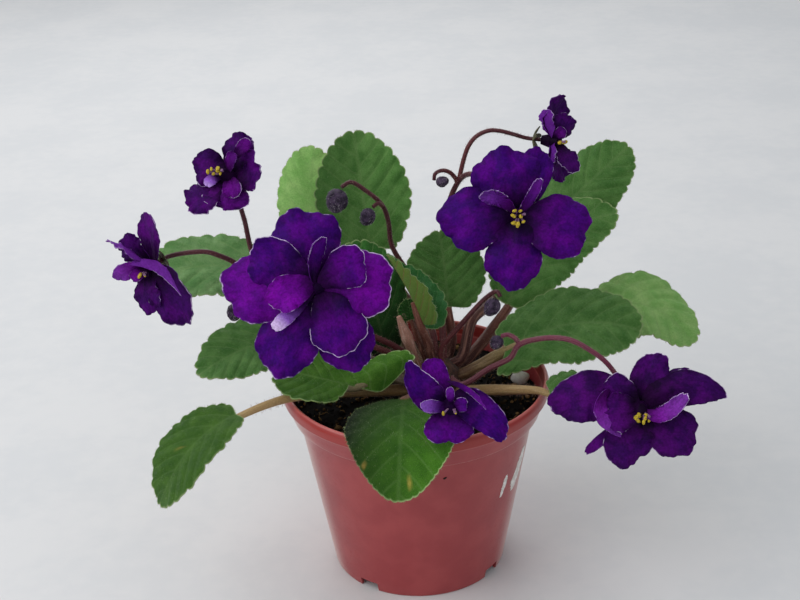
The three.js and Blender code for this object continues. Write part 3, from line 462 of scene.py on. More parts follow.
def grow_tube(
    draft: Draft,
    path: Array,
    radii: Iterable[float],
    sides: int,
    finish: int = 0,
    relief: float = 0.0,
    tone: float = 0.0,
) -> None:
    """Adds a round stem along a path to a mesh.

    Args:
        draft: The mesh that it becomes part of.
        path: The points that it follows.
        radii: Its radii at even steps along the path.
        sides: How many sides its section has.
        finish: The number of its material.
        relief: How far its skin waves in and out, as a share of the radius.
        tone: The tone of its corners.
    """
    known = list(radii)
    steps = len(path)
    along = np.linspace(0, 1, steps)
    radius = np.interp(along, np.linspace(0, 1, len(known)), known)
    first, second = carried_frames(path)
    turn = turns(sides)
    wave = 1 + relief * (
        np.sin(turn[None] * 3 + along[:, None] * 9) + 0.6 * np.sin(turn[None] * 5 - along[:, None] * 23)
    )
    spread = (radius[:, None] * wave)[..., None]
    rings = path[:, None] + spread * (
        first[:, None] * np.cos(turn)[None, :, None] + second[:, None] * np.sin(turn)[None, :, None]
    )
    faces = []
    for i in range(steps - 1):
        for j in range(sides):
            a, b = i * sides + j, i * sides + (j + 1) % sides
            faces.append((a, b, b + sides, a + sides))
    faces.append(tuple(reversed(range(sides))))
    faces.append(tuple(range((steps - 1) * sides, steps * sides)))
    count = steps * sides
    plane = np.column_stack([np.repeat(along, sides), np.tile(turn / math.pi - 1, steps), np.ones(count)])
    trace = np.column_stack([np.zeros(count), np.full(count, tone), np.zeros(count)])
    draft.add(rings.reshape(-1, 3), faces, plane, trace, finish)


def grow_egg(draft: Draft, shape: Callable[[Array, Array], Array], plane: bool, finish: int = 0) -> None:
    """Adds a closed round body to a mesh.

    Args:
        draft: The mesh that it becomes part of.
        shape: Gives the points for turns about the axis and for heights from -1 to 1.
        plane: Whether its heights are kept as its places along.
        finish: The number of its material.
    """
    sides, bands = 28, 18
    rise = np.sin((np.arange(1, bands) / bands - 0.5) * math.pi)
    turn = np.concatenate([np.tile(turns(sides), bands - 1), [0.0, 0.0]])
    rise = np.concatenate([np.repeat(rise, sides), [-1.0, 1.0]])
    marks = np.column_stack([rise * plane, turn, np.ones(len(turn))])
    draft.add(shape(turn, rise), skin_faces(bands - 1, sides), marks, None, finish)


def grow_hairs(draft: Draft, roots: Array, tips: Array, radius: float) -> None:
    """Adds fine tapered hairs, each a closed three-sided spike, to a mesh.

    Args:
        draft: The mesh that they become part of.
        roots: Where they start.
        tips: Where they end.
        radius: How thick they are at the root.
    """
    along = unit(tips - roots)
    helper = np.where(np.abs(along[:, 2:]) < 0.9, [[0.0, 0.0, 1.0]], [[1.0, 0.0, 0.0]])
    first = unit(np.cross(along, helper))
    second = np.cross(along, first)
    base = [roots + radius * (first * math.cos(a) + second * math.sin(a)) for a in HAIR_TURNS]
    corners = np.stack([*base, tips], axis=1).reshape(-1, 3)
    spike = np.array([[0, 1, 3], [1, 2, 3], [2, 0, 3], [0, 2, 1]])
    faces = (spike[None] + 4 * np.arange(len(roots))[:, None, None]).reshape(-1, 3)
    share = np.tile([0.0, 0.0, 0.0, 1.0], len(roots))
    draft.add(corners, faces, np.column_stack([share, share, share]))


# Shaders

VEIN_COUNT = 6.0
VEIN_SLOPE = 0.42
VEIN_BEND = 1.25
VEIN_STAGGER = 0.5


class Wiring:
    """Lays nodes in one shader tree and joins them."""

    def __init__(self, tree: Tree) -> None:
        """Starts on an empty tree."""
        self.tree = tree
        tree.nodes.clear()

    def feed(self, socket: Socket, value: Value) -> None:
        """Joins a socket to another one, or sets its value.

        Args:
            socket: The socket that is fed.
            value: Another socket, or a plain value.
        """
        if isinstance(value, Socket):
            self.tree.links.new(value, socket)
        else:
            socket.default_value = value

    def node(self, kind: str, inputs: dict[str | int, Value] | None = None, **settings: object) -> Node:
        """Adds one node.

        Args:
            kind: The node's kind, without its prefix.
            inputs: What its inputs are fed, by name or number.
            settings: Its other settings.

        Returns:
            The node.
        """
        made = self.tree.nodes.new(kind if kind.startswith("NodeGroup") else "ShaderNode" + kind)
        for name, value in settings.items():
            setattr(made, name, value)
        for name, value in (inputs or {}).items():
            self.feed(made.inputs[name], value)
        return made

    def math(self, operation: str, *values: Value) -> Socket:
        """One step of arithmetic."""
        return self.node("Math", dict(enumerate(values)), operation=operation).outputs[0]

    def times(self, first: Value, second: Value) -> Socket:
        """One value times another."""
        return self.math("MULTIPLY", first, second)

    def plus(self, first: Value, second: Value) -> Socket:
        """The sum of two values."""
        return self.math("ADD", first, second)

    def shaded(self, colour: Value, shade: Value) -> Socket:
        """A colour made darker or lighter by a factor."""
        tint = self.node("CombineColor", {0: shade, 1: shade, 2: shade}).outputs[0]
        return self.mix(1.0, colour, tint, "MULTIPLY")

    def band(self, value: Value, low: Value, high: Value, start: float = 0, end: float = 1) -> Socket:
        """A smooth change from start to end while the value goes from low to high."""
        inputs = {"Value": value, "From Min": low, "From Max": high, "To Min": start, "To Max": end}
        return self.node("MapRange", inputs, interpolation_type="SMOOTHSTEP").outputs[0]

    def mix(self, share: Value, first: Value, second: Value, blend: str = "MIX") -> Socket:
        """Two colours, mixed."""
        inputs = {0: share, 6: first, 7: second}
        return self.node("Mix", inputs, data_type="RGBA", blend_type=blend).outputs[2]

    def noise(self, point: Value, scale: Value, detail: float = 2, rough: float = 0.5) -> Socket:
        """Soft noise from 0 to 1."""
        inputs = {"Vector": point, "Scale": scale, "Detail": detail, "Roughness": rough}
        return self.node("TexNoise", inputs).outputs[0]

    def triple(self, name: str) -> tuple[Socket, ...]:
        """The three values of a triple that the mesh carries."""
        mark = self.node("Attribute", attribute_name=name)
        return tuple(self.node("SeparateXYZ", {0: mark.outputs["Vector"]}).outputs)

    def here(self) -> Socket:
        """The place on the piece."""
        return self.node("TexCoord").outputs["Object"]

    def effect(self, tree: Tree, **inputs: Value) -> dict[str, Socket]:
        """Places a shared effect.

        Args:
            tree: The effect's node group.
            inputs: What its inputs are fed.

        Returns:
            Its outputs by name.
        """
        made = self.tree.nodes.new("ShaderNodeGroup")
        made.node_tree = tree
        for name, value in inputs.items():
            self.feed(made.inputs[name], value)
        return {socket.name: socket for socket in made.outputs}

    def finish(
        self, colour: Value, roughness: Value, height: Value, strength: float, **plain: float | tuple
    ) -> None:
        """Closes a material with its one shader.

        Args:
            colour: The base colour.
            roughness: The roughness.
            height: The relief, which feeds a bump.
            strength: How strong the bump is.
            plain: Values that are the same all over, by socket name with _ for a space.
        """
        bump = self.node("Bump", {"Height": height, "Strength": strength, "Distance": 0.0004})
        shader = self.node(
            "BsdfPrincipled", {"Base Color": colour, "Roughness": roughness, "Normal": bump.outputs[0]}
        )
        for name, value in plain.items():
            shader.inputs[name.replace("_", " ")].default_value = value
        self.node("OutputMaterial", {"Surface": shader.outputs[0]})


def new_effect(name: str, inputs: dict[str, str], outputs: dict[str, str]) -> tuple[Wiring, dict, Node]:
    """Starts a shared effect.

    Args:
        name: The effect's name.
        inputs: The kind of each input, by name.
        outputs: The kind of each output, by name.

    Returns:
        The wiring of its tree, its inputs by name, and the node that its outputs go to.
    """
    tree = bpy.data.node_groups.new(name, "ShaderNodeTree")
    for way, sockets in (("INPUT", inputs), ("OUTPUT", outputs)):
        for label, kind in sockets.items():
            tree.interface.new_socket(name=label, in_out=way, socket_type="NodeSocket" + kind)
    wiring = Wiring(tree)
    source = wiring.node("NodeGroupInput")
    return wiring, {socket.name: socket for socket in source.outputs}, wiring.node("NodeGroupOutput")


class Effects:
    """The shader effects that several materials share."""

    def __init__(self) -> None:
        """Builds each effect once."""
        self.grain = self.build_grain()
        self.veins = self.build_veins()
        self.streaks = self.build_streaks()

    def build_grain(self) -> Tree:
        """Broad and fine mottling, at a size in millimetres.

        Returns:
            The effect's node group.
        """
        w, given, out = new_effect(
            "grain", {"Point": "Vector", "Size": "Float"}, {"Broad": "Float", "Fine": "Float"}
        )
        scale = w.math("DIVIDE", 1 / MM, given["Size"])
        w.feed(out.inputs["Broad"], w.noise(given["Point"], scale, 3))
        w.feed(out.inputs["Fine"], w.noise(given["Point"], w.times(scale, 7.0), 2, 0.6))
        return w.tree

    def build_veins(self) -> Tree:
        """A leaf's midrib and side veins, and the quilted skin between them.

        Returns:
            The effect's node group.
        """
        w, given, out = new_effect(
            "veins", {"Along": "Float", "Across": "Float"}, {"Vein": "Float", "Quilt": "Float"}
        )
        away = w.math("ABSOLUTE", given["Across"])
        bend = w.times(w.math("POWER", away, VEIN_BEND), VEIN_SLOPE)
        shift = w.times(w.math("SIGN", given["Across"]), 0.5 * VEIN_STAGGER / VEIN_COUNT)
        phase = w.times(w.plus(w.math("SUBTRACT", given["Along"], bend), shift), VEIN_COUNT)
        near = w.math("PINGPONG", phase, 0.5)
        side = w.band(near, 0.0, 0.11, 1, 0)
        fade = w.band(away, 0.55, 0.95, 1, 0.2)
        midrib = w.band(away, 0.012, 0.06, 1, 0)
        w.feed(out.inputs["Vein"], w.math("MAXIMUM", w.times(side, fade), midrib))
        w.feed(out.inputs["Quilt"], w.band(near, 0.0, 0.4))
        return w.tree

    def build_streaks(self) -> Tree:
        """Fine streaks that fan out along a petal or run down a stem.

        Returns:
            The effect's node group.
        """
        w, given, out = new_effect(
            "streaks", {"Along": "Float", "Across": "Float", "Count": "Float"}, {"Streak": "Float"}
        )
        run = w.node("CombineXYZ", {0: w.times(given["Along"], 1.6), 1: given["Across"]})
        w.feed(out.inputs["Streak"], w.noise(run.outputs[0], given["Count"], 2, 0.55))
        return w.tree


def new_material(name: str) -> tuple[Material, Wiring]:
    """A new material and the wiring of its tree.

    Args:
        name: Its name.

    Returns:
        The material and its wiring.
    """
    made = bpy.data.materials.new(name)
    made.use_nodes = True
    return made, Wiring(made.node_tree)


@dataclass(frozen=True)
class BladeFinish:
    """The skin of a leaf's blade.

    Attributes:
        upper: The colour of its upper face.
        bright: The lighter colour in the upper face's mottling.
        under: The colour of its lower face.
        vein: The colour of the veins above.
        under_vein: The colour of the veins below.
        margin: The colour of the hairy margin.
        spot: The colour of a damaged spot.
        veined: How strongly the veins above show.
    """

    name: str
    upper: Colour
    bright: Colour
    under: Colour = (124, 148, 72)
    vein: Colour = (118, 148, 88)
    under_vein: Colour = (150, 120, 88)
    margin: Colour = (156, 176, 118)
    spot: Colour = (176, 150, 70)
    veined: float = 0.26

    def build(self, effects: Effects) -> Material:
        """Makes the material.

        Args:
            effects: The shared shader effects.

        Returns:
            The material.
        """
        made, w = new_material(self.name)
        along, across, side = w.triple("plane")
        margin, tone, light = w.triple("trace")
        veins = w.effect(effects.veins, Along=along, Across=across)
        grain = w.effect(effects.grain, Point=w.here(), Size=4.5)
        fuzz = w.effect(effects.grain, Point=w.here(), Size=1.1)
        lit = w.plus(w.times(grain["Broad"], 0.6), w.times(fuzz["Fine"], 0.6))
        lit = w.band(lit, 0.4, 0.85)
        skin = w.mix(lit, linear(self.upper), linear(self.bright))
        skin = w.mix(w.times(veins["Vein"], self.veined), skin, linear(self.vein))
        edge = w.band(margin, 0.975, 1.0, 0, 0.8)
        skin = w.mix(edge, skin, linear(self.margin))
        below = w.mix(w.times(veins["Vein"], 0.7), linear(self.under), linear(self.under_vein))
        below = w.mix(w.times(grain["Broad"], 0.45), below, linear(self.bright))
        skin = w.mix(w.band(side, -0.2, 0.2, 1, 0), skin, below)
        skin = w.mix(tone, skin, linear(self.spot))
        # Painted light and shade: the leaf's light from the trace brightens or darkens the skin on top of the
        # fine fuzz variation.
        shade = w.times(w.band(fuzz["Fine"], 0.25, 0.75, 0.72, 1.26), light)
        skin = w.shaded(skin, shade)
        height = w.plus(w.times(veins["Quilt"], 0.7), w.times(fuzz["Fine"], 0.9))
        w.finish(
            skin,
            w.band(fuzz["Broad"], 0.3, 0.7, 0.5, 0.7),
            height,
            0.8,
            Sheen_Weight=0.04,
            Sheen_Roughness=0.45,
            Specular_IOR_Level=0.15,
        )
        return made


@dataclass(frozen=True)
class StemFinish:
    """The skin of a petiole or a flower stalk, which changes from its foot to its end.

    Attributes:
        foot: The colour where it leaves the crown.
        end: The colour at its far end.
        streak: The colour of the pale streaks along it.
        streaky: How strong the streaks are.
        gloss: Its roughness.
    """

    name: str
    foot: Colour
    end: Colour
    streak: Colour
    streaky: float = 0.5
    gloss: float = 0.5

    def build(self, effects: Effects) -> Material:
        """Makes the material.

        Args:
            effects: The shared shader effects.

        Returns:
            The material.
        """
        made, w = new_material(self.name)
        along, across, _ = w.triple("plane")
        grain = w.effect(effects.grain, Point=w.here(), Size=2.6)
        streaks = w.effect(effects.streaks, Along=w.times(along, 0.5), Across=across, Count=5.0)
        skin = w.mix(w.band(along, 0.05, 0.8), linear(self.foot), linear(self.end))
        pale = w.times(w.band(streaks["Streak"], 0.46, 0.68), self.streaky)
        skin = w.mix(pale, skin, linear(self.streak))
        shade = w.band(grain["Fine"], 0.25, 0.75, 0.75, 1.2)
        w.finish(
            w.shaded(skin, shade),
            w.band(grain["Broad"], 0.3, 0.7, self.gloss - 0.08, self.gloss + 0.12),
            grain["Fine"],
            0.4,
            Sheen_Weight=0.05,
            Sheen_Roughness=0.5,
            Specular_IOR_Level=0.3,
        )
        return made


@dataclass(frozen=True)
class PetalFinish:
    """The velvety skin of a bloom's petals.

    Attributes:
        deep: The darkest violet, for the painted shade towards the throat and the margin, and for the dark
            streaks.
        body: The violet of the petal.
        glow: The magenta violet of the petals that turn to the light.
        under: The paler colour of the lower face.
        lilac: The colour of the bleached small petals.
        rim: The colour of the thin frilled edge.
    """

    name: str
    deep: Colour = (20, 1, 34)
    body: Colour = (58, 2, 108)
    glow: Colour = (124, 6, 160)
    under: Colour = (108, 40, 150)
    lilac: Colour = (146, 92, 196)
    rim: Colour = (230, 206, 243)

    def build(self, effects: Effects) -> Material:
        """Makes the material.

        Args:
            effects: The shared shader effects.

        Returns:
            The material.
        """
        made, w = new_material(self.name)
        along, across, side = w.triple("plane")
        margin, tone, pale = w.triple("trace")
        streaks = w.effect(effects.streaks, Along=along, Across=across, Count=6.0)
        grain = w.effect(effects.grain, Point=w.here(), Size=5.0)
        # Painted shade: the petal is darkest at the throat and lightens outwards.
        skin = w.mix(w.band(along, 0.05, 0.78), linear(self.deep), linear(self.body))
        light = w.plus(tone, w.band(grain["Broad"], 0.35, 0.65, -0.14, 0.16))
        light = w.times(light, w.band(along, 0.1, 0.6, 0.3, 1))
        skin = w.mix(w.math("MAXIMUM", light, 0.0), skin, linear(self.glow))
        skin = w.mix(w.band(streaks["Streak"], 0.45, 0.7, 0, 0.32), skin, linear(self.deep))
        # Painted shade towards the margin.
        skin = w.mix(w.band(margin, 0.7, 0.97, 0, 0.25), skin, linear(self.deep))
        skin = w.mix(w.band(side, -0.2, 0.2, 0.7, 0), skin, linear(self.under))
        pale = w.times(pale, w.band(along, 0.25, 0.95))
        skin = w.mix(w.math("MINIMUM", pale, 1.0), skin, linear(self.lilac))
        skin = w.mix(w.math("MAXIMUM", w.math("SUBTRACT", pale, 1.0), 0.0), skin, linear(self.rim))
        strength = w.math("SUBTRACT", w.math("ABSOLUTE", side), 1.0)
        strength = w.times(strength, w.band(along, 0.3, 0.55))
        gaps = w.effect(effects.grain, Point=w.here(), Size=2.6)
        broken = w.band(w.plus(gaps["Broad"], w.times(strength, 0.45)), 0.6, 0.85, 0, 0.8)
        edge = w.band(w.plus(margin, w.times(grain["Fine"], 0.02)), 0.975, 1.0)
        skin = w.mix(w.times(edge, broken), skin, linear(self.rim))
        shade = w.band(grain["Fine"], 0.2, 0.8, 0.78, 1.24)
        height = w.plus(streaks["Streak"], w.times(grain["Fine"], 0.6))
        w.finish(
            w.shaded(skin, shade),
            w.band(grain["Broad"], 0.3, 0.7, 0.55, 0.7),
            height,
            0.5,
            Specular_IOR_Level=0.06,
            Sheen_Weight=0.16,
            Sheen_Roughness=0.45,
            Sheen_Tint=linear(self.glow),
        )
        return made


@dataclass(frozen=True)
class MottledFinish:
    """A plain skin of two mottled colours, with a third by tone.

    Attributes:
        dark: The darker colour of the mottling.
        light: The lighter colour of the mottling.
        toned: The colour where the mesh has a tone of one, if it isn't the lighter one.
        size: The size of the mottling in millimetres.
        roughness: The roughness.
        relief: How strong the bump is.
        shine: How strongly it mirrors.
    """

    name: str
    dark: Colour
    light: Colour
    toned: Colour | None = None
    size: float = 2.0
    roughness: float = 0.6
    relief: float = 0.4
    shine: float = 0.5

    def build(self, effects: Effects) -> Material:
        """Makes the material.

        Args:
            effects: The shared shader effects.

        Returns:
            The material.
        """
        made, w = new_material(self.name)
        _, tone, _ = w.triple("trace")
        grain = w.effect(effects.grain, Point=w.here(), Size=self.size)
        share = w.band(w.plus(grain["Broad"], w.times(grain["Fine"], 0.5)), 0.55, 0.95)
        skin = w.mix(share, linear(self.dark), linear(self.light))
        skin = w.mix(w.math("MINIMUM", tone, 1.0), skin, linear(self.toned or self.light))
        rough = w.band(grain["Broad"], 0.3, 0.7, self.roughness - 0.08, self.roughness + 0.08)
        w.finish(skin, rough, grain["Fine"], self.relief, Specular_IOR_Level=self.shine)
        return made


class Mottled(Enum):
    """The mottled finishes."""

    PEAT = MottledFinish("peat", (5, 4, 4), (20, 16, 13), (150, 118, 74), 1.4, 0.9, 1.0, 0.1)
    PEBBLE = MottledFinish("pebble_stone", (206, 202, 194), (228, 226, 220), None, 2.5, 0.55, 0.25)
    CROWN = MottledFinish("crown_bark", (44, 26, 20), (92, 60, 46), None, 1.8, 0.75, 0.9)
    PAPER = MottledFinish("scrap_paper", (214, 208, 200), (250, 248, 244), None, 2, 0.8, 0.4)
    DIRT = MottledFinish("dirt", (22, 14, 12), (40, 26, 22), None, 1, 0.8, 0.4)
    LEAF_HAIR = MottledFinish("leaf_hair", (112, 136, 84), (156, 172, 124), None, 3, 0.6, 0.1)
    STEM_HAIR = MottledFinish("stem_hair", (132, 92, 80), (190, 160, 146), None, 3, 0.6, 0.1)
    BUD_HAIR = MottledFinish("bud_hair", (150, 146, 150), (214, 210, 212), None, 3, 0.6, 0.1)
    SEPAL = MottledFinish("sepal", (58, 60, 34), (104, 96, 60), None, 1.6, 0.6, 0.5)
    BUD = MottledFinish("bud_skin", (30, 21, 38), (84, 68, 92), (60, 20, 90), 1.4, 0.6, 0.6, 0.2)
    ANTHER = MottledFinish(
        "anther_yellow", (168, 142, 34), (222, 198, 60), (120, 70, 150), 0.7, 0.5, 0.5, 0.3
    )
    FLOOR = MottledFinish("floor_paint", (216, 217, 218), (222, 222, 222), None, 60, 0.8, 0.05)


@dataclass(frozen=True)
class PotFinish:
    """The thin moulded plastic of the pot.

    Light passes through the plastic above the soil, so the lip is brighter and more red
    than the wall in front of the dark peat.
    """

    name: str = "pot_plastic"
    wall: Colour = (158, 54, 58)
    wall_light: Colour = (168, 64, 66)
    # Painted light: the lip's redder colour stands for light shining through its plastic.
    lip: Colour = (158, 44, 40)
    # Painted shade: the inner face is darker and a deeper red than the outer wall.
    inside: Colour = (150, 30, 28)
    # Painted highlights: the pale lines along the lip's foot, the band's foot and the lip's top.
    line: Colour = (204, 108, 102)
    # Painted reflection: the pale colour that the wall takes at glancing angles.
    glancing_reflection: Colour = (222, 190, 184)
    fleck: Colour = (118, 44, 48)

    def build(self, effects: Effects) -> Material:
        """Makes the material.

        Args:
            effects: The shared shader effects.

        Returns:
            The material.
        """
        made, w = new_material(self.name)
        here = w.here()
        x, y, height = w.node("SeparateXYZ", {0: here}).outputs
        radius = w.math("SQRT", w.plus(w.times(x, x), w.times(y, y)))
        grain = w.effect(effects.grain, Point=here, Size=9.0)
        speck = w.effect(effects.grain, Point=here, Size=2.2)
        skin = w.mix(w.band(grain["Broad"], 0.35, 0.7), linear(self.wall), linear(self.wall_light))
        skin = w.mix(w.band(speck["Fine"], 0.66, 0.74, 0, 0.35), skin, linear(self.fleck))
        lip_from, lip_to = (Pot.height - Pot.lip_height - 0.4) * MM, (Pot.height - Pot.lip_height + 0.8) * MM
        # Painted light through the plastic: the lip above the soil is coloured redder.
        skin = w.mix(w.band(height, lip_from, lip_to), skin, linear(self.lip))
        # Painted highlights along the foot of the lip and the foot of the band.
        for level in (Pot.height - Pot.lip_height - 0.1, Pot.band_bottom - 0.15):
            away = w.math("ABSOLUTE", w.math("SUBTRACT", height, level * MM))
            skin = w.mix(w.band(away, 0.1 * MM, 0.45 * MM, 0.7, 0), skin, linear(self.line))
        # Painted shade on the pot's inner face.
        slope = (Pot.wall_top_radius - Pot.base_radius) / (Pot.band_bottom - Pot.step_height)
        outer = w.plus(w.times(height, slope), (Pot.base_radius - 0.7 * Pot.wall) * MM)
        inner = w.times(w.band(w.math("SUBTRACT", radius, outer), -0.2 * MM, 0.1 * MM, 1, 0), 0.9)
        skin = w.mix(inner, skin, linear(self.inside))
        # Painted highlight along the top of the lip.
        crest = w.band(height, (Pot.height - 0.9) * MM, (Pot.height - 0.1) * MM, 0, 0.75)
        skin = w.mix(crest, skin, linear(self.line))
        # Painted reflection: the wall turns pale at glancing angles, less so on the lip.
        facing = w.node("LayerWeight", {"Blend": 0.5}).outputs["Facing"]
        glancing_reflection = w.times(w.band(facing, 0.66, 1.0, 0, 0.8), w.band(height, lip_from, lip_to, 1, 0.2))
        skin = w.mix(glancing_reflection, skin, linear(self.glancing_reflection))
        scuff = w.band(grain["Fine"], 0.5, 0.8, 0.36, 0.5)
        w.finish(
            skin,
            scuff,
            w.plus(speck["Fine"], w.times(speck["Broad"], 0.7)),
            0.07,
            Specular_IOR_Level=0.5,
            Coat_Weight=0.12,
            Coat_Roughness=0.3,
        )
        return made


class Plastic(Enum):
    """The finishes of the pot."""

    POT = PotFinish()


# Pot, soil, pebble and crown


@dataclass
class Pot:
    """The thin nursery pot: a rolled lip, a stepped band, a tapered wall and a notched foot."""

    height: float = 69
    wall: float = 1.2
    rim_radius: float = 45
    lip_height: float = 4.5
    band_top_radius: float = 43.9
    band_bottom: float = 58.2
    band_bottom_radius: float = 42
    step_height: float = 0.6
    wall_top_radius: float = 40
    base_radius: float = 29.8
    foot_height: float = 3
    pad_radius: float = 6
    sides: int = 144
    notch_count: int = 4
    notch_width: float = 7
    notch_height: float = 3.2
    notch_depth: float = 6
    notch_turn: float = -36
    drain_depth: float = 5
    drain_gap: float = 2.4
    fillet: float = 0.5
    ring_gap: float = 4

    def outer_radius(self, height: float) -> float:
        """The radius of the tapered wall at a height.

        Args:
            height: The height.

        Returns:
            The radius there.
        """
        return self.base_radius + (self.wall_top_radius - self.base_radius) * height / (
            self.band_bottom - self.step_height
        )

    def profile(self) -> list[tuple[float, float]]:
        """The section of the pot as radius and height, from the foot's middle round to the floor's.

        Returns:
            The section's sharp corners.
        """
        lip_bottom = self.height - self.lip_height
        floor_top = self.foot_height + self.wall
        wall_top = self.band_bottom - self.step_height
        return [
            (0, 0),
            (self.pad_radius, 0),
            (self.pad_radius + 0.4, self.foot_height),
            (self.outer_radius(self.foot_height) - self.wall, self.foot_height),
            (self.base_radius - self.wall, 0),
            (self.base_radius, 0),
            (self.wall_top_radius, wall_top),
            (self.band_bottom_radius, self.band_bottom),
            (self.band_top_radius, lip_bottom - 0.3),
            (self.rim_radius - 0.1, lip_bottom + 0.1),
            (self.rim_radius, self.height - 1.6),
            (self.rim_radius - 0.6, self.height - 0.3),
            (self.rim_radius - 1.2, self.height),
            (self.rim_radius - 1.8, self.height - 0.5),
            (self.band_top_radius - self.wall, lip_bottom),
            (self.band_bottom_radius - self.wall, self.band_bottom + 0.4),
            (self.wall_top_radius - self.wall, wall_top - 0.2),
            (self.outer_radius(floor_top) - self.wall, floor_top),
            (0, floor_top),
        ]

    def rounded_profile(self) -> list[tuple[float, float]]:
        """The section with rounded corners and split long stretches, which keep a cut's shading local.

        Returns:
            The section's points in the same order.
        """
        sharp = [np.array(p, float) for p in self.profile()]
        made = [sharp[0]]
        for before, corner, after in zip(sharp, sharp[1:], sharp[2:]):
            back, on = before - corner, after - corner
            reach_back = min(self.fillet, 0.4 * np.linalg.norm(back))
            reach_on = min(self.fillet, 0.4 * np.linalg.norm(on))
            start = corner + back / np.linalg.norm(back) * reach_back
            end = corner + on / np.linalg.norm(on) * reach_on
            for share in (0, 0.33, 0.67, 1):
                made.append((1 - share) ** 2 * start + 2 * share * (1 - share) * corner + share**2 * end)
        made.append(sharp[-1])
        split = [made[0]]
        for start, end in zip(made, made[1:]):
            count = max(1, math.ceil(np.linalg.norm(end - start) / self.ring_gap))
            split.extend(start + (end - start) * step / count for step in range(1, count + 1))
        return [tuple(p) for p in split]

    def cutters(self) -> bpy.types.Object:
        """The boxes that cut the foot's notches and the drain holes behind them.

        Returns:
            The boxes as one object.
        """
        draft = Draft()
        box = np.array([(x, y, z) for x in (-1, 1) for y in (-1, 1) for z in (-1, 1)], float) / 2
        sides = [(0, 1, 3, 2), (4, 6, 7, 5), (0, 4, 5, 1), (2, 3, 7, 6), (0, 2, 6, 4), (1, 5, 7, 3)]
        floor_top = self.foot_height + self.wall
        for i in range(self.notch_count):
            angle = math.radians(self.notch_turn) + i / self.notch_count * 2 * math.pi
            turn = np.array(Matrix.Rotation(angle, 3, "Z"))
            notch = box * (self.notch_width, self.notch_depth, self.notch_height * 2)
            notch = notch + (0, -self.base_radius, 0)
            drain = box * (self.notch_width - 0.4, self.drain_depth, self.foot_height)
            drain = drain + (0, -self.base_radius + self.drain_depth / 2 + self.drain_gap, floor_top - 0.5)
            for part in (notch, drain):
                draft.add(part @ turn.T, sides)
        return new_object("pot_cutters", draft.mesh("pot_cutters"))

    def build(self, skins: Skins) -> None:
        """Makes the pot in place of its plain solid.

        Args:
            skins: The materials by finish.
        """
        profile = self.rounded_profile()
        rings = profile[1:-1]
        turn = turns(self.sides) - math.pi / 2
        rows = [upright(radius, turn, height) for radius, height in rings]
        poles = [(0, 0, profile[0][1]), (0, 0, profile[-1][1])]
        draft = Draft()
        draft.add(np.vstack([*rows, poles]), skin_faces(len(rings), self.sides))
        made = draft.piece("pot_shell", [skins[Plastic.POT]], Slot.POT, "pot", sharp=35)
        cutter = self.cutters()
        cut = made.modifiers.new("cut", "BOOLEAN")
        cut.operation = "DIFFERENCE"
        cut.solver = "MANIFOLD"
        cut.object = cutter
        keep_shape(made)
        bpy.data.objects.remove(cutter)
        made.data.set_sharp_from_angle(angle=math.radians(35))

    def on_wall(self, turn: Array, height: Array, lift: float) -> Array:
        """Points just off the tapered wall, by turn from the front in degrees and height.

        Args:
            turn: The turns from the front, in degrees.
            height: The heights.
            lift: How far off the wall.

        Returns:
            The points, one row each.
        """
        radius = self.outer_radius(height) + lift
        angle = np.radians(turn)
        return np.column_stack([radius * np.sin(angle), -radius * np.cos(angle), height])


def keep_shape(made: bpy.types.Object) -> None:
    """Applies a piece's modifiers to its mesh.

    Args:
        made: The piece.
    """
    graph = bpy.context.evaluated_depsgraph_get()
    shaped = bpy.data.meshes.new_from_object(made.evaluated_get(graph))
    made.modifiers.clear()
    made.data = shaped


@dataclass
class Scrap:
    """A torn scrap of plain white paper, or a fleck of dirt, that sticks to the pot's wall.

    Attributes:
        line: The middle of the scrap as turn and height, from its top to its foot.
        width: How wide it is, in degrees of turn.
        skin: Its finish.
    """

    name: str
    line: tuple[Pair, ...]
    width: float
    skin: Mottled = Mottled.PAPER
    thickness: float = 0.14

    def build(self, pot: Pot, skins: Skins, chance: Chance) -> None:
        """Makes the scrap against the wall.

        Args:
            pot: The pot that it sticks to.
            skins: The materials by finish.
            chance: The source of chance.
        """
        rows = 26
        share = np.linspace(0, 1, rows)
        known = np.array(self.line)
        at = np.linspace(0, 1, len(known))
        turn, height = np.interp(share, at, known[:, 0]), np.interp(share, at, known[:, 1])
        half = self.width / 2 * (0.25 + np.sin(math.pi * np.clip(share, 0.04, 0.97)) ** 0.6)
        left = turn - half * (0.75 + 0.5 * chance.random(rows))
        right = turn + half * (0.75 + 0.5 * chance.random(rows))
        layers = [pot.on_wall(side, height, lift) for lift in (self.thickness, 0.0) for side in (left, right)]
        faces = []
        for i in range(rows - 1):
            a = [k * rows + i for k in range(4)]
            faces.append((a[0], a[0] + 1, a[1] + 1, a[1]))
            faces.append((a[2], a[3], a[3] + 1, a[2] + 1))
            faces.append((a[0], a[2], a[2] + 1, a[0] + 1))
            faces.append((a[1], a[1] + 1, a[3] + 1, a[3]))
        end = rows - 1
        faces.append((0, rows, 3 * rows, 2 * rows))
        faces.append((end, 2 * rows + end, 3 * rows + end, rows + end))
        draft = Draft()
        draft.add(np.vstack(layers), faces)
        draft.piece(self.name, [skins[self.skin]])


SCRAPS = (
    Scrap("scrap_wide", ((67, 49), (66, 44), (62, 38), (60.5, 33.8)), 7),
    Scrap("scrap_narrow", ((51, 43.3), (50.4, 40), (48.6, 35)), 2.6),
    Scrap("dirt_fleck", ((12.6, 52.3), (12.2, 51.9), (11.9, 51.4)), 1.1, Mottled.DIRT),
)


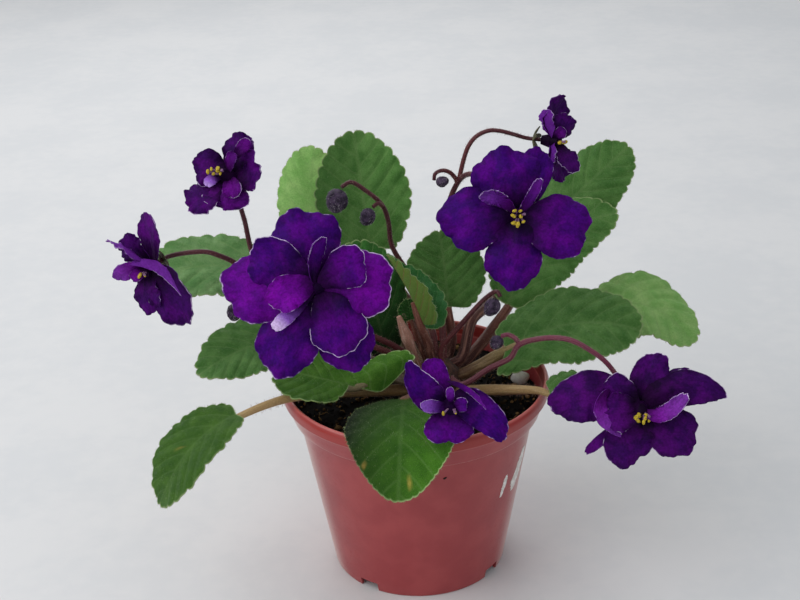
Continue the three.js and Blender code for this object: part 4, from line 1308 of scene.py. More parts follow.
@dataclass
class Soil:
    """The peat that fills the pot, with its crumbs, flecks and fibres."""

    top: float = 61.5
    relief: float = 0.6
    gap: float = 0.3
    rings: int = 26
    sides: int = 96
    crumbs: int = 1500
    fibres: int = 90

    def height(self, x: Array, y: Array) -> Array:
        """The height of the peat's top.

        Args:
            x: The places to the right.
            y: The places to the back.

        Returns:
            The heights.
        """
        broad = np.sin(0.31 * x + 1.3) * np.cos(0.27 * y - 0.4)
        fine = 0.5 * np.sin(0.9 * x - 0.6 * y)
        rough = np.sin(1.9 * x + 2.3 * y) * np.sin(2.6 * x - 1.7 * y + 0.8)
        return self.top + self.relief * (broad + fine) + 0.28 * rough

    def build(self, pot: Pot, skins: Skins, chance: Chance) -> None:
        """Makes the peat in place of its plain solid.

        Args:
            pot: The pot that it fills.
            skins: The materials by finish.
            chance: The source of chance.
        """
        inwards = pot.wall + self.gap
        bottom = pot.foot_height + pot.wall + self.gap
        edge = pot.band_bottom_radius - inwards + 0.3
        draft = Draft()
        below = (
            (pot.outer_radius(bottom) - inwards, bottom),
            (pot.wall_top_radius - inwards, pot.band_bottom - 1),
            (pot.band_bottom_radius - inwards - 0.1, pot.band_bottom + 0.8),
        )
        turn = turns(self.sides)
        rows = [upright(radius, turn, height) for radius, height in below]
        for share in np.linspace(1, 0.03, self.rings):
            x, y = edge * share * np.cos(turn), edge * share * np.sin(turn)
            rows.append(np.column_stack([x, y, self.height(x, y)]))
        poles = [[0, 0, bottom], [0, 0, float(self.height(np.zeros(1), np.zeros(1))[0])]]
        draft.add(np.vstack([*rows, poles]), skin_faces(len(rows), self.sides))
        self.add_crumbs(draft, edge, chance)
        self.add_fibres(draft, edge, chance)
        draft.piece("peat", [skins[Mottled.PEAT]], Slot.SOIL, "soil", sharp=60)

    def spots(self, edge: float, count: int, chance: Chance) -> tuple[Array, Array]:
        """Chosen places on the peat's top.

        Args:
            edge: How far from the middle they may lie.
            count: How many places.
            chance: The source of chance.

        Returns:
            Their places to the right and to the back.
        """
        radius = edge * np.sqrt(chance.random(count)) * 0.985
        turn = chance.random(count) * 2 * math.pi
        return radius * np.cos(turn), radius * np.sin(turn)

    def add_crumbs(self, draft: Draft, edge: float, chance: Chance) -> None:
        """Scatters small lumps of peat and bark over the top.

        Args:
            draft: The peat's mesh.
            edge: The radius of the top.
            chance: The source of chance.
        """
        corners = np.vstack([(axis, -axis) for axis in np.eye(3)])
        pairs = [(a, b) for a in (0, 1) for b in (2, 3, 4, 5)] + [(a, b) for a in (2, 3) for b in (4, 5)]
        ball = np.vstack([corners, *(unit(corners[a] + corners[b]) for a, b in pairs)])
        index = {pair: 6 + k for k, pair in enumerate(pairs)}
        hull = []
        for x, y, z in itertools.product((0, 1), (2, 3), (4, 5)):
            xy, xz, yz = index[(x, y)], index[(x, z)], index[(y, z)]
            flip = -1 if (x + y + z) % 2 == 1 else 1
            hull.extend(face[::flip] for face in ((x, xy, xz), (y, yz, xy), (z, xz, yz), (xy, yz, xz)))
        xs, ys = self.spots(edge, self.crumbs, chance)
        levels = self.height(xs, ys)
        for x, y, level in zip(xs, ys, levels):
            size = 0.28 + 0.75 * chance.random() ** 2.2
            stretch = size * (0.55 + 0.9 * chance.random(3))
            lump = ball * stretch * (0.8 + 0.4 * chance.random((len(ball), 1)))
            turn = np.array(Matrix.Rotation(chance.random() * ANY_TURN, 3, Vector(chance.normal(size=3))))
            tone = max(0.0, chance.random() ** 5 * 1.1 - 0.02)
            trace = np.column_stack([np.zeros(len(ball)), np.full(len(ball), tone), np.zeros(len(ball))])
            draft.add(lump @ turn.T + (x, y, level + 0.25 * size), hull, None, trace)

    def add_fibres(self, draft: Draft, edge: float, chance: Chance) -> None:
        """Scatters thin tan fibres over the top.

        Args:
            draft: The peat's mesh.
            edge: The radius of the top.
            chance: The source of chance.
        """
        xs, ys = self.spots(edge * 0.93, self.fibres, chance)
        for x, y in zip(xs, ys):
            angle = chance.random() * 2 * math.pi
            length = 1.4 + 3.2 * chance.random()
            run = np.linspace(-0.5, 0.5, 5) * length
            bend = 0.12 * length * np.sin(run / length * math.pi * 2)
            px = x + run * math.cos(angle) - bend * math.sin(angle)
            py = y + run * math.sin(angle) + bend * math.cos(angle)
            path = np.column_stack([px, py, self.height(px, py) + 0.35])
            grow_tube(draft, path, (0.06, 0.14, 0.06), sides=5, tone=0.35 + 0.6 * chance.random())


@dataclass
class Pebble:
    """The white pebble that lies on the peat."""

    centre: Point = (36, 6.6, 63.4)
    radii: Point = (3.2, 2.6, 2.3)

    def shape(self, turn: Array, rise: Array) -> Array:
        """The pebble's skin, a little flattened and uneven.

        Args:
            turn: The turns about its axis.
            rise: The heights along its axis, from -1 to 1.

        Returns:
            The points, one row each.
        """
        flat = np.sqrt(1 - rise**2)
        uneven = 1 + 0.04 * np.sin(3 * turn + 2 * rise) + 0.03 * np.sin(5 * rise + turn)
        return np.array(self.centre) + upright(flat, turn, rise) * self.radii * column(uneven)

    def build(self, skins: Skins) -> None:
        """Makes the pebble in place of its plain solid.

        Args:
            skins: The materials by finish.
        """
        draft = Draft()
        grow_egg(draft, self.shape, plane=True)
        draft.piece("white_pebble", [skins[Mottled.PEBBLE]], Slot.PEBBLE, "pebble")


@dataclass
class Crown:
    """The plant's short stem, scarred and hairy, which carries every petiole and stalk."""

    at: Point = (7, -1, 0)
    profile: tuple[Pair, ...] = (
        (5, 54), (5.6, 60), (7.4, 63), (8, 68), (7.2, 72), (4.6, 74.6),
    )
    top: float = 75.4
    sides: int = 56
    rows: int = 34

    def build(self, skins: Skins) -> None:
        """Makes the crown in place of its plain solid.

        Args:
            skins: The materials by finish.
        """
        known = np.array([(0, self.profile[0][1]), *self.profile, (0, self.top)], float)
        run = np.concatenate([[0], np.cumsum(np.linalg.norm(np.diff(known, axis=0), axis=1))])
        at = np.linspace(0, run[-1], self.rows)[1:-1]
        radius, height = np.interp(at, run, known[:, 0]), np.interp(at, run, known[:, 1])
        turn = turns(self.sides)
        rows = []
        for r, z in zip(radius, height):
            scar = 0.05 * np.sin(5 * turn + 0.9 * z) + 0.04 * np.sin(9 * turn - 1.7 * z)
            rows.append(upright(r * (1 + scar), turn, z))
        poles = [[0, 0, known[0, 1]], [0, 0, self.top]]
        draft = Draft()
        draft.add(np.vstack([*rows, poles]) + (*self.at[:2], 0), skin_faces(len(rows), self.sides))
        draft.piece("plant_crown", [skins[Mottled.CROWN]], Slot.CROWN, "crown")


# Leaves

TIER_HEIGHTS = (64.6, 68.4, 72.3)
LEAF_CENTRE = 0.44
LEAF_RINGS = (0.14, 0.3, 0.46, 0.6, 0.73, 0.84, 0.93, 0.98, 1.0)
LEAF_THICKNESS = 0.8
LOBE_AT = 0.5
CREST_REACH = (15, 4.5)
MIDRIB_REACH = 0.3
PETIOLE_STEPS = 34
PETIOLE_BARE = 28
PETIOLE_SIDES = 14
POINTS_PER_TOOTH = 7
FINE_HAIR = 0.035
STEM_HAIR = 0.045
MARGIN_HAIR = 0.05
BLADE_HAIRS = 0.75
MARGIN_HAIRS = 2.2
DARK_LEAVES = ("leaf_dark", "leaf_small", "leaf_back")


class Blade(Enum):
    """The finishes of the leaf blades."""

    SMOOTH = BladeFinish("leaf_smooth", (40, 82, 12), (62, 104, 26), veined=0.14)
    FRESH = BladeFinish("leaf_fresh", (44, 84, 18), (74, 112, 38), veined=0.16)
    MID = BladeFinish("leaf_mid", (58, 105, 40), (98, 140, 72))
    HAZY = BladeFinish("leaf_hazy", (74, 122, 60), (120, 154, 98))
    LIGHT = BladeFinish("leaf_light", (106, 158, 76), (148, 182, 110))
    DARK = BladeFinish("leaf_dark_green", (34, 80, 24), (54, 106, 44))
    BLUISH = BladeFinish(
        "leaf_bluish", (38, 94, 34), (70, 122, 74), under=(98, 118, 40), under_vein=(124, 82, 50)
    )


class Stem(Enum):
    """The finishes of the petioles and the flower stalks."""

    TAN = StemFinish("petiole_tan", (134, 104, 64), (168, 138, 92), (196, 172, 124))
    OLIVE = StemFinish("petiole_olive", (98, 68, 48), (140, 124, 76), (176, 152, 110))
    RED = StemFinish("petiole_red", (62, 24, 20), (118, 68, 54), (164, 116, 98), 0.6)
    GREY = StemFinish("petiole_grey", (104, 84, 76), (138, 128, 90), (170, 152, 142), 0.6)
    PALE = StemFinish("petiole_pale", (128, 84, 70), (180, 130, 110), (210, 172, 156), 0.7)
    STALK = StemFinish("stalk_dark", (96, 42, 44), (72, 26, 36), (132, 74, 72), 0.35, 0.42)
    MAGENTA = StemFinish("stalk_magenta", (104, 52, 62), (112, 40, 66), (160, 108, 118), 0.4, 0.42)


@dataclass
class Petiole:
    """A leaf's fleshy stem.

    Attributes:
        radii: Its radii at the crown and under the blade.
        stem: Its finish.
        tier: Which tier of the crown it leaves from.
        bearing: The way that it leaves the crown, in degrees from +X.
        root: Where it starts, if it leaves the crown's top instead.
        via: The points that it passes through.
    """

    radii: Pair
    stem: Stem
    tier: int = 0
    bearing: float = 0
    root: Point | None = None
    via: tuple[Point, ...] = ()

    def start(self, crown: Point) -> list[Point]:
        """Its first points, in the crown and just outside it.

        Args:
            crown: The middle of the crown.

        Returns:
            The points.
        """
        if self.root:
            return [self.root]
        angle = math.radians(self.bearing)
        x, y, height = crown[0], crown[1], TIER_HEIGHTS[self.tier]
        return [
            (x + 4 * math.cos(angle), y + 4 * math.sin(angle), height),
            (x + 9 * math.cos(angle), y + 9 * math.sin(angle), height + 0.8),
        ]


@dataclass
class Leaf:
    """One hairy toothed leaf: its blade and its petiole, grown together.

    Attributes:
        rib: The foot, middle and tip of the midrib.
        up: The way that the upper face looks, at the foot and at the tip.
        width: How wide the blade is.
        petiole: Its petiole.
        blade: The blade's finish.
        rise: How far the left and right edges rise.
        fold: How far it is folded along the midrib, in degrees.
        halves: How wide its left and right halves are, as shares of their full widths.
        lobe: How far its left and right lobes reach back.
        spread: How broad the lobes are.
        crest: How high its right lobe is crested.
        taper: How much wider it is near the foot than near the tip.
        ripple: How far its margin ripples.
        tooth: How deep its rounded teeth are.
        pitch: How far apart they are.
        swell: How far the skin swells between the veins.
        light: Painted light and shade: how bright its skin is, and how much brighter it is to the left and at
            the tip.
        spots: Damaged spots, each its place along and across, its size and its strength.
    """

    name: str
    rib: tuple[Point, Point, Point]
    up: tuple[Point, Point]
    width: float
    petiole: Petiole
    blade: Blade
    rise: Pair = (0, 0)
    fold: float = 0
    halves: Pair = (1, 1)
    lobe: Pair = (3, 3)
    spread: float = 0.1
    crest: float = 0
    taper: float = 0.16
    ripple: float = 0.6
    tooth: float = 0.8
    pitch: float = 3.4
    swell: float = 0.42
    light: Point = (1, 0, 0)
    spots: tuple[tuple[float, float, float, float], ...] = ()

    def __post_init__(self) -> None:
        """Works out the midrib."""
        self.line = Midrib(*(np.array(p, float) for p in self.rib))
        self.length = self.line.length

    def place(self, x: Array, y: Array, share: Array) -> Array:
        """The places in space of flat points of the blade.

        Args:
            x: How far along the midrib.
            y: How far to the left of it.
            share: How much of the way from the middle to the margin.

        Returns:
            The places, one row each.
        """
        t = x / self.length
        point, side, normal = self.line.lay(x, tuple(np.array(up, float) for up in self.up))
        rise = np.where(y > 0, *self.rise) * (2 * y / self.width) ** 2
        around = np.arctan2(y, x - self.length * LEAF_CENTRE)
        ripple = self.ripple * share**3 * np.sin(5 * around)
        frill = 0.3 * share**5 * np.sin(17 * around + self.width) * ease(t, 0.05, 0.2)
        fold = math.radians(self.fold)
        lifted = (np.sqrt(y * y + 0.25) - 0.5) * math.sin(fold)
        crest = self.crest * ease(-x, 0, CREST_REACH[0]) * ease(-y, 0.5, CREST_REACH[1])
        height = lifted + rise + ripple + frill + crest + self.quilt(t, 2 * y / self.width, share)
        return point + side * column(y * math.cos(fold)) + normal * column(height)

    def quilt(self, t: Array, v: Array, share: Array) -> Array:
        """How far the skin swells between the veins.

        Args:
            t: The places along, as shares of the length.
            v: The places across, from -1 to 1.
            share: How much of the way from the middle to the margin.

        Returns:
            The heights.
        """
        away = np.abs(v)
        shift = np.sign(v) * 0.5 * VEIN_STAGGER / VEIN_COUNT
        phase = (t - VEIN_SLOPE * away**VEIN_BEND + shift) * VEIN_COUNT
        swell = 0.5 - 0.5 * np.cos(2 * math.pi * phase)
        reach = min(1.0, self.width / 25)
        return self.swell * reach * swell * ease(away, 0.03, 0.3) * (1 - ease(share, 0.8, 1.0))

    def outline(self) -> Array:
        """The blade's flat outline with its rounded teeth.

        Returns:
            The points of the outline, one row each.
        """
        turn = np.linspace(0, 2 * math.pi, 1200, endpoint=False)
        from_foot = math.pi - np.abs(np.where(turn > math.pi, turn - 2 * math.pi, turn))
        lobe = np.where(turn < math.pi, *self.lobe)
        back = lobe * np.exp(-((from_foot - LOBE_AT) ** 2) / self.spread)
        x = self.length * (1 + np.cos(turn)) / 2 - back
        y = self.width / 2 * np.sin(turn) * (1 - self.taper * np.cos(turn))
        y = y * np.where(turn < math.pi, *self.halves)
        plain = np.column_stack([x, y])
        step = np.linalg.norm(np.roll(plain, -1, axis=0) - plain, axis=1)
        run = np.concatenate([[0], np.cumsum(step)])
        teeth = max(8, round(run[-1] / self.pitch))
        at = np.linspace(0, run[-1], teeth * POINTS_PER_TOOTH, endpoint=False)
        closed = np.vstack([plain, plain[:1]])
        even = np.column_stack([np.interp(at, run, closed[:, k]) for k in range(2)])
        from_foot = np.interp(at, run, np.append(from_foot, from_foot[0]))
        ahead = unit(np.roll(even, -1, axis=0) - np.roll(even, 1, axis=0))
        out = np.column_stack([ahead[:, 1], -ahead[:, 0]])
        swell = np.abs(np.sin(math.pi * at / run[-1] * teeth)) ** 0.7 - 0.6
        depth = self.tooth * ease(from_foot, 0.25, 0.6) * (0.8 + 0.4 * np.sin(at * 0.7 + self.width))
        return even + out * column(swell * depth)

    def spotted(self, flat: Array) -> Array:
        """How far each flat point lies in a damaged spot.

        Args:
            flat: The flat points.

        Returns:
            The strength of the damage at each.
        """
        tone = np.zeros(len(flat))
        for along, across, size, strength in self.spots:
            away = np.hypot(flat[:, 0] - along * self.length, flat[:, 1] - across * self.width / 2)
            tone = np.maximum(tone, strength * (1 - ease(away, 0.4 * size, 1.3 * size)))
        return tone

    def sheet(self) -> Sheet:
        """The blade.

        Returns:
            The sheet.
        """
        return Sheet(
            outline=self.outline(),
            centre=np.array([self.length * LEAF_CENTRE, 0.0]),
            place=self.place,
            length=self.length,
            half_width=self.width / 2,
            thickness=LEAF_THICKNESS,
            rings=LEAF_RINGS,
        )

    def petiole_path(self, crown: Point) -> Array:
        """The middle line of the petiole, from inside the crown to under the midrib.

        Args:
            crown: The middle of the crown.

        Returns:
            The points of the line, one row each.
        """
        points = [*self.petiole.start(crown), *self.petiole.via]
        sink = unit(np.array(self.up[0], float)) * -0.7 * self.petiole.radii[1]
        points.append(self.line.at(np.array([0.0]))[0][0] + sink)
        points.append(self.line.at(np.array([MIDRIB_REACH]))[0][0] + sink * 0.5)
        return smooth_path(points, PETIOLE_STEPS)

    def build(self, crown: Point, skins: Skins, fur: "Fur") -> None:
        """Makes the leaf in place of its plain solid, and grows its hairs.

        Args:
            crown: The middle of the crown.
            skins: The materials by finish.
            fur: The plant's hairs, which its own ones join.
        """
        draft = Draft()
        sheet = self.sheet()
        sheet.grow(draft, self.spotted)
        # Painted light and shade: the trace's third value makes the blade brighter to the left and towards
        # the tip.
        base, to_left, to_tip = self.light
        along, across = draft.plane[-1][:, 0], draft.plane[-1][:, 1]
        draft.trace[-1][:, 2] = np.maximum(base + to_left * across + to_tip * (along - 0.5), 0.1)
        path = self.petiole_path(crown)
        first, last = self.petiole.radii
        grow_tube(draft, path, (first, last, last * 0.5), PETIOLE_SIDES, finish=1, relief=0.035)
        slot = Slot.DARK_LEAF if self.name in DARK_LEAVES else Slot.LEAF
        draft.piece(f"{self.name}_blade", [skins[self.blade], skins[self.petiole.stem]], slot, self.name)
        fur.on_sheet(sheet, self.width * self.length)
        fur.on_stem(path[:PETIOLE_BARE], (first, last), per_mm=10)


@dataclass
class Fur:
    """The fine hairs of the plant, gathered in three meshes.

    Attributes:
        chance: The source of chance.
    """

    chance: Chance
    leaves: Draft = field(default_factory=Draft)
    stems: Draft = field(default_factory=Draft)
    buds: Draft = field(default_factory=Draft)

    def on_sheet(self, sheet: Sheet, area: float) -> None:
        """Grows hairs on a blade, close together along its margin.

        Args:
            sheet: The blade.
            area: About how large it is.
        """
        count = int(area * BLADE_HAIRS)
        points, out_of, _ = sheet.scatter(count, 0.1, self.chance)
        lean = unit(out_of + 0.45 * self.chance.normal(size=(count, 3)))
        reach = column(0.45 + 0.5 * self.chance.random(count))
        grow_hairs(self.leaves, points, points + lean * reach, FINE_HAIR)
        rim = int(len(sheet.outline) * MARGIN_HAIRS)
        points, out_of, away = sheet.scatter(rim, 0.985, self.chance)
        lean = unit(away + 0.5 * out_of + 0.3 * self.chance.normal(size=(rim, 3)))
        reach = column(0.4 + 0.5 * self.chance.random(rim))
        grow_hairs(self.leaves, points, points + lean * reach, MARGIN_HAIR)

    def on_stem(self, path: Array, radii: Pair, per_mm: float, reach: float = 0.9) -> None:
        """Grows hairs that stand out from a stem.

        Args:
            path: The points of the stem's middle line.
            radii: Its radii at its foot and its end.
            per_mm: How many hairs each millimetre has.
            reach: How long they are.
        """
        length = float(np.linalg.norm(np.diff(path, axis=0), axis=1).sum())
        count = int(length * per_mm)
        at = self.chance.random(count) * (len(path) - 1)
        low = at.astype(int)
        part = column(at - low)
        centre = path[low] * (1 - part) + path[np.minimum(low + 1, len(path) - 1)] * part
        first, second = carried_frames(path)
        turn = self.chance.random(count) * 2 * math.pi
        out = unit(first[low] * column(np.cos(turn)) + second[low] * column(np.sin(turn)))
        radius = radii[0] + (radii[1] - radii[0]) * at / (len(path) - 1)
        roots = centre + out * column(radius * 0.92)
        lean = unit(out + 0.3 * self.chance.normal(size=(count, 3)))
        tips = roots + lean * column(reach * (0.5 + 0.7 * self.chance.random(count)))
        grow_hairs(self.stems, roots, tips, STEM_HAIR)

    def build(self, skins: Skins) -> None:
        """Makes the three pieces of hair.

        Args:
            skins: The materials by finish.
        """
        hairs = (
            ("leaf_hairs", self.leaves, Mottled.LEAF_HAIR, Slot.LEAF),
            ("stem_hairs", self.stems, Mottled.STEM_HAIR, Slot.STALK),
            ("bud_hairs", self.buds, Mottled.BUD_HAIR, Slot.BUD),
        )
        for name, draft, skin, slot in hairs:
            draft.piece(name, [skins[skin]], slot, smooth=False)


LEAVES = (
    Leaf("leaf_front", rib=((-3.7, -15, 68.4), (-5.2, -43, 74), (-6.8, -58.5, 56.5)),
         up=((0, -0.3, 1), (0, -1, 0.35)), width=35, petiole=Petiole((2.1, 1.9), Stem.PALE, 0, 232),
         blade=Blade.SMOOTH, rise=(-1.5, -4.2), lobe=(4.5, 7), ripple=0.4, tooth=0.4, pitch=2.4, swell=0.16,
         light=(1.2, 1.1, 0.3), spots=((0.8, -0.62, 1.0, 0.9), (0.9, 0.2, 0.9, 0.6), (0.05, 0.0, 1.6, 0.6))),
    Leaf("leaf_front_left", rib=((-21.7, -14, 73.3), (-33.9, -14, 77), (-46.4, -12, 79.3)),
         up=((0, -0.4, 0.9), (-0.2, -0.4, 0.9)), width=23.5,
         petiole=Petiole((1.9, 1.8), Stem.GREY, 1, 206, via=((-10, -8.4, 73.4),)), blade=Blade.FRESH,
         rise=(2, 0), fold=4, lobe=(-1, 18), spread=0.35, crest=16, taper=0, ripple=0.5,
         light=(1.5, -0.3, -0.6), spots=((0.1, -0.85, 2.2, 1.0),)),
    Leaf("leaf_low_left", rib=((-58.3, -26, 70.4), (-72.8, -34, 62.6), (-82.9, -40, 46.1)),
         up=((-0.2, -0.2, 0.9), (-0.5, -0.3, 0.8)), width=27,
         petiole=Petiole((2.1, 1.7), Stem.TAN, 0, 196, via=((-40.6, -18, 71.8),)), blade=Blade.FRESH,
         rise=(-1, -1), fold=10, lobe=(2.5, 2.5), taper=-0.05, ripple=0.4, spots=((0.55, -0.3, 0.8, 0.5),)),
    Leaf("leaf_mid_left", rib=((-43.7, 6, 80.8), (-57.6, 2, 79.5), (-72, -6, 74.4)),
         up=((0, -0.4, 0.9), (-0.2, -0.4, 0.9)), width=25.5,
         petiole=Petiole((1.9, 1.7), Stem.GREY, 1, 177, via=((-20, 4, 75.5), (-32, 6, 79))), blade=Blade.MID,
         rise=(-0.5, -0.5), fold=6),
    Leaf("leaf_upper_left", rib=((-52.1, 30, 96.2), (-73.2, 28, 98.9), (-94, 22, 97.4)),
         up=((0, -0.4, 0.9), (0, -0.4, 0.9)), width=28.5,
         petiole=Petiole((1.8, 1.7), Stem.OLIVE, 2, 135, via=((-5.5, 19, 80.5), (-24, 27, 89))),
         blade=Blade.HAZY, rise=(-0.5, -0.5), fold=6, lobe=(4, 4), tooth=1.1, pitch=4.2, light=(1.15, 0, 0)),
    Leaf("leaf_back_left", rib=((-26, 44, 96.9), (-33.9, 50, 114.6), (-32.4, 54, 132.3)),
         up=((-0.2, -0.8, 0.6), (-0.2, -0.8, 0.6)), width=27,
         petiole=Petiole((2, 1.7), Stem.OLIVE, 0, 118, via=((-6, 21, 75),)), blade=Blade.LIGHT, rise=(-1, -1),
         lobe=(4, 4), light=(1.4, 0, 0)),
    Leaf("leaf_back", rib=((-14.3, 32, 103.2), (-16.5, 42, 120.2), (-19, 50, 139.2)),
         up=((0, -0.85, 0.5), (0, -0.85, 0.5)), width=33,
         petiole=Petiole((1.8, 1.7), Stem.RED, 2, 98, via=((0, 20, 84),)), blade=Blade.MID, rise=(1, 1),
         fold=8, lobe=(4, 4), tooth=1.1, pitch=4.2, light=(1.05, -0.2, 0)),
    Leaf("leaf_dark", rib=((-10.4, 9, 75.1), (-14.2, 14, 92.5), (-20.5, 21, 109.6)),
         up=((0.2, -0.8, 0.55), (0.1, -0.7, 0.7)), width=25, petiole=Petiole((1.8, 1.6), Stem.RED, 1, 148),
         blade=Blade.DARK, rise=(-1, -1), taper=-0.1, ripple=0.4, light=(0.95, 0, 1.4)),
    Leaf("leaf_folded", rib=((2.6, -2, 90.7), (-1.7, 0.5, 101), (-8.3, 5, 111.8)),
         up=((0.9, -0.1, 0.45), (0.9, -0.1, 0.45)), width=17,
         petiole=Petiole((1.9, 1.6), Stem.RED, root=(6, -2.6, 72), via=((5, -2.4, 80),)), blade=Blade.BLUISH,
         fold=70, halves=(0.76, 1), lobe=(3, 6), spread=0.3, taper=0.7, ripple=0.3, light=(1.3, 0, 0)),
    Leaf("leaf_centre_right", rib=((11.8, 13, 88.3), (11, 17, 100.7), (9.3, 20, 113.4)),
         up=((0, -0.8, 0.4), (0, -0.8, 0.4)), width=27,
         petiole=Petiole((1.7, 1.6), Stem.RED, 2, 60, via=((12.8, 8.6, 77),)), blade=Blade.MID, fold=4,
         lobe=(2, 2)),
    Leaf("leaf_upper_right", rib=((48.5, 42, 106.1), (63.7, 48, 118.4), (77.9, 54, 129.2)),
         up=((-0.3, -0.7, 0.65), (-0.3, -0.7, 0.65)), width=26,
         petiole=Petiole((1.9, 1.8), Stem.RED, 2, 24,
                         via=((19.4, 10, 83.5), (24.1, 19, 83.8), (30.8, 31, 84.6))),
         blade=Blade.MID, rise=(-0.6, -0.6)),
    Leaf("leaf_mid_right", rib=((32.8, 21, 84.3), (47.3, 31, 103), (72.1, 36, 111)),
         up=((-0.3, -0.7, 0.65), (-0.1, -0.6, 0.8)), width=27.5, petiole=Petiole((2, 1.9), Stem.RED, 1, 32),
         blade=Blade.MID, rise=(-0.6, -1.4), lobe=(0, 2), light=(1.2, 0, 0)),
    Leaf("leaf_right", rib=((30.9, 0, 78.4), (54, 4, 84.6), (76, 2, 82.3)),
         up=((0, -0.5, 0.87), (0, -0.5, 0.87)), width=30, petiole=Petiole((2.1, 1.9), Stem.OLIVE, 1, 6),
         blade=Blade.MID, rise=(-0.6, -0.6), fold=2, lobe=(3, 10), taper=0, ripple=0.7),
    Leaf("leaf_far_right", rib=((66, 22, 78.5), (81.5, 22, 81.8), (96.3, 14, 70.6)),
         up=((0, -0.4, 0.9), (0.2, -0.3, 0.9)), width=30,
         petiole=Petiole((2, 1.7), Stem.OLIVE, 0, 22, via=((41, 13, 72.6),)), blade=Blade.LIGHT,
         rise=(-0.4, -0.4), fold=2, ripple=0.8, light=(1.15, 0, 0)),
    Leaf("leaf_low_right", rib=((43.4, -19.5, 72.2), (50.7, -21, 72.4), (58.5, -23, 64.4)),
         up=((0, -0.3, 0.9), (0, -0.4, 0.9)), width=16,
         petiole=Petiole((2, 1.8), Stem.TAN, 0, 333, via=((39.9, -17.6, 71.5),)), blade=Blade.MID,
         rise=(-0.4, -0.4), fold=4, lobe=(1.5, 1.5), ripple=0.3),
    Leaf("leaf_small", rib=((-1, 2.5, 89), (-1.4, 3.5, 92.2), (-1.8, 4.5, 95.5)),
         up=((0.1, -0.9, 0.4), (0.1, -0.9, 0.4)), width=8,
         petiole=Petiole((1, 1), Stem.RED, root=(4.4, 0.5, 72.5)), blade=Blade.DARK, fold=10, lobe=(0.8, 0.8),
         ripple=0, tooth=0.4, pitch=2),
)

# Blooms, stalks and buds

PETAL_CENTRE = 0.55
PETAL_PHASE = 1.7
PETAL_WAVE = 0.03
PETAL_RINGS = (0.2, 0.4, 0.58, 0.74, 0.86, 0.94, 0.98, 1.0)
PETAL_POINTS = 120
PETAL_THICKNESS = 0.6
HUB_RADII = (1.5, 2.4)
HUB_BACK = 3.6
HUB_REACH = 0.7
HUB_PLACE = 0.1
CALYX_RADII = (1.6, 4.4)
CALYX_CUP = 1.6
CALYX_THICKNESS = 0.7
CALYX_RINGS = (0.35, 0.7, 1.0)
CALYX_POINTS = 100
STALK_LEAD = 5
STALK_GAP = 0.3


def seen(offset: Point) -> Array:
    """The offset in space for one that is given across, up and near, as the camera sees it.

    Args:
        offset: The offset across, up and near.

    Returns:
        The offset in the part's own frame.
    """
    across, up, near = offset
    tilt = math.radians(Studio.elevation)
    back = up * math.sin(tilt) - near * math.cos(tilt)
    return np.array([across, back, up * math.cos(tilt) + near * math.sin(tilt)])


@dataclass
class Petal:
    """One frilled petal of a bloom. Its offsets are across, up and near, as the camera sees them.

    Attributes:
        rib: The offsets of its foot, middle and tip from the bloom's middle.
        width: How wide it is.
        face: The way that its upper face looks.
        rise: How far its left and right edges rise.
        tone: How far it is lit towards magenta, from 0 to 1.
        rim: How bright its frilled edge is to the left and to the right, from 0 to 1.
        pale: How far it is bleached, from 0 through lilac at 1 to nearly white at 2.
        taper: How much broader it is towards its tip.
        ruffle: How far its edge waves, as a share of its width.
        frill: How far its edge is crimped.
    """

    rib: tuple[Point, Point, Point]
    width: float
    face: Point = (0, 0.1, 1)
    rise: Pair = (-1, -1)
    tone: float = 0.2
    rim: Pair = (0.3, 0.3)
    pale: float = 0.0
    taper: float = 0.28
    ruffle: float = 0.06
    frill: float = 0.3

    def outline(self, length: float, phase: float) -> Array:
        """The petal's flat waved outline, from its foot.

        Args:
            length: How long the petal is.
            phase: What sets its waves apart from the other petals'.

        Returns:
            The points of the outline, one row each.
        """
        phi = turns(PETAL_POINTS) + math.pi
        outwards = 0.5 + 0.5 * np.cos(phi)
        wave = 1 + PETAL_WAVE * np.sin(5 * phi + phase) * outwards
        wave = wave + 0.018 * outwards * np.sin(13 * phi + 2 * phase)
        wave = wave + 0.01 * outwards * np.sin(29 * phi + phase)
        x = length * (1 + wave * np.cos(phi)) / 2
        y = self.width / 2 * wave * np.sin(phi) * (1 + self.taper * np.cos(phi))
        return np.column_stack([x, y])

    def sheet(self, centre: Point, phase: float) -> Sheet:
        """The petal in its place in a bloom.

        Args:
            centre: The middle of the bloom.
            phase: What sets its waves apart from the other petals'.

        Returns:
            The sheet.
        """
        line = Midrib(*(np.array(centre) + seen(p) for p in self.rib))
        face = seen(self.face)
        share_of_full = min(1.0, self.width / 10)

        def place(x: Array, y: Array, share: Array) -> Array:
            """The places in space of flat points of the petal.

            Args:
                x: How far along the petal.
                y: How far to its left.
                share: How much of the way from the middle to the margin.

            Returns:
                The places, one row each.
            """
            t = x / line.length
            point, side, normal = line.lay(x, (face, face))
            rise = np.where(y > 0, *self.rise) * (2 * y / self.width) ** 2
            around = np.arctan2(y, x - line.length * PETAL_CENTRE)
            ruffle = self.ruffle * self.width * share**3 * np.sin(5 * around + phase)
            crimp = np.sin(12 * around + 2 * phase) + 0.55 * np.sin(21 * around + phase)
            crimp = self.frill * share_of_full * share**6 * crimp * ease(t, 0.15, 0.45)
            fan = np.arctan2(y, x + 0.15 * line.length)
            pleat = np.sin(9 * fan + 2 * phase) + 0.45 * np.sin(23 * fan + phase)
            pleat = 0.3 * share_of_full * pleat * ease(t, 0.02, 0.3) * (1 - 0.75 * ease(t, 0.3, 0.9))
            return point + side * column(y) + normal * column(rise + ruffle + crimp + pleat)

        return Sheet(
            outline=self.outline(line.length, phase),
            centre=np.array([line.length * PETAL_CENTRE, 0.0]),
            place=place,
            length=line.length,
            half_width=self.width / 2,
            thickness=PETAL_THICKNESS,
            rings=PETAL_RINGS,
        )


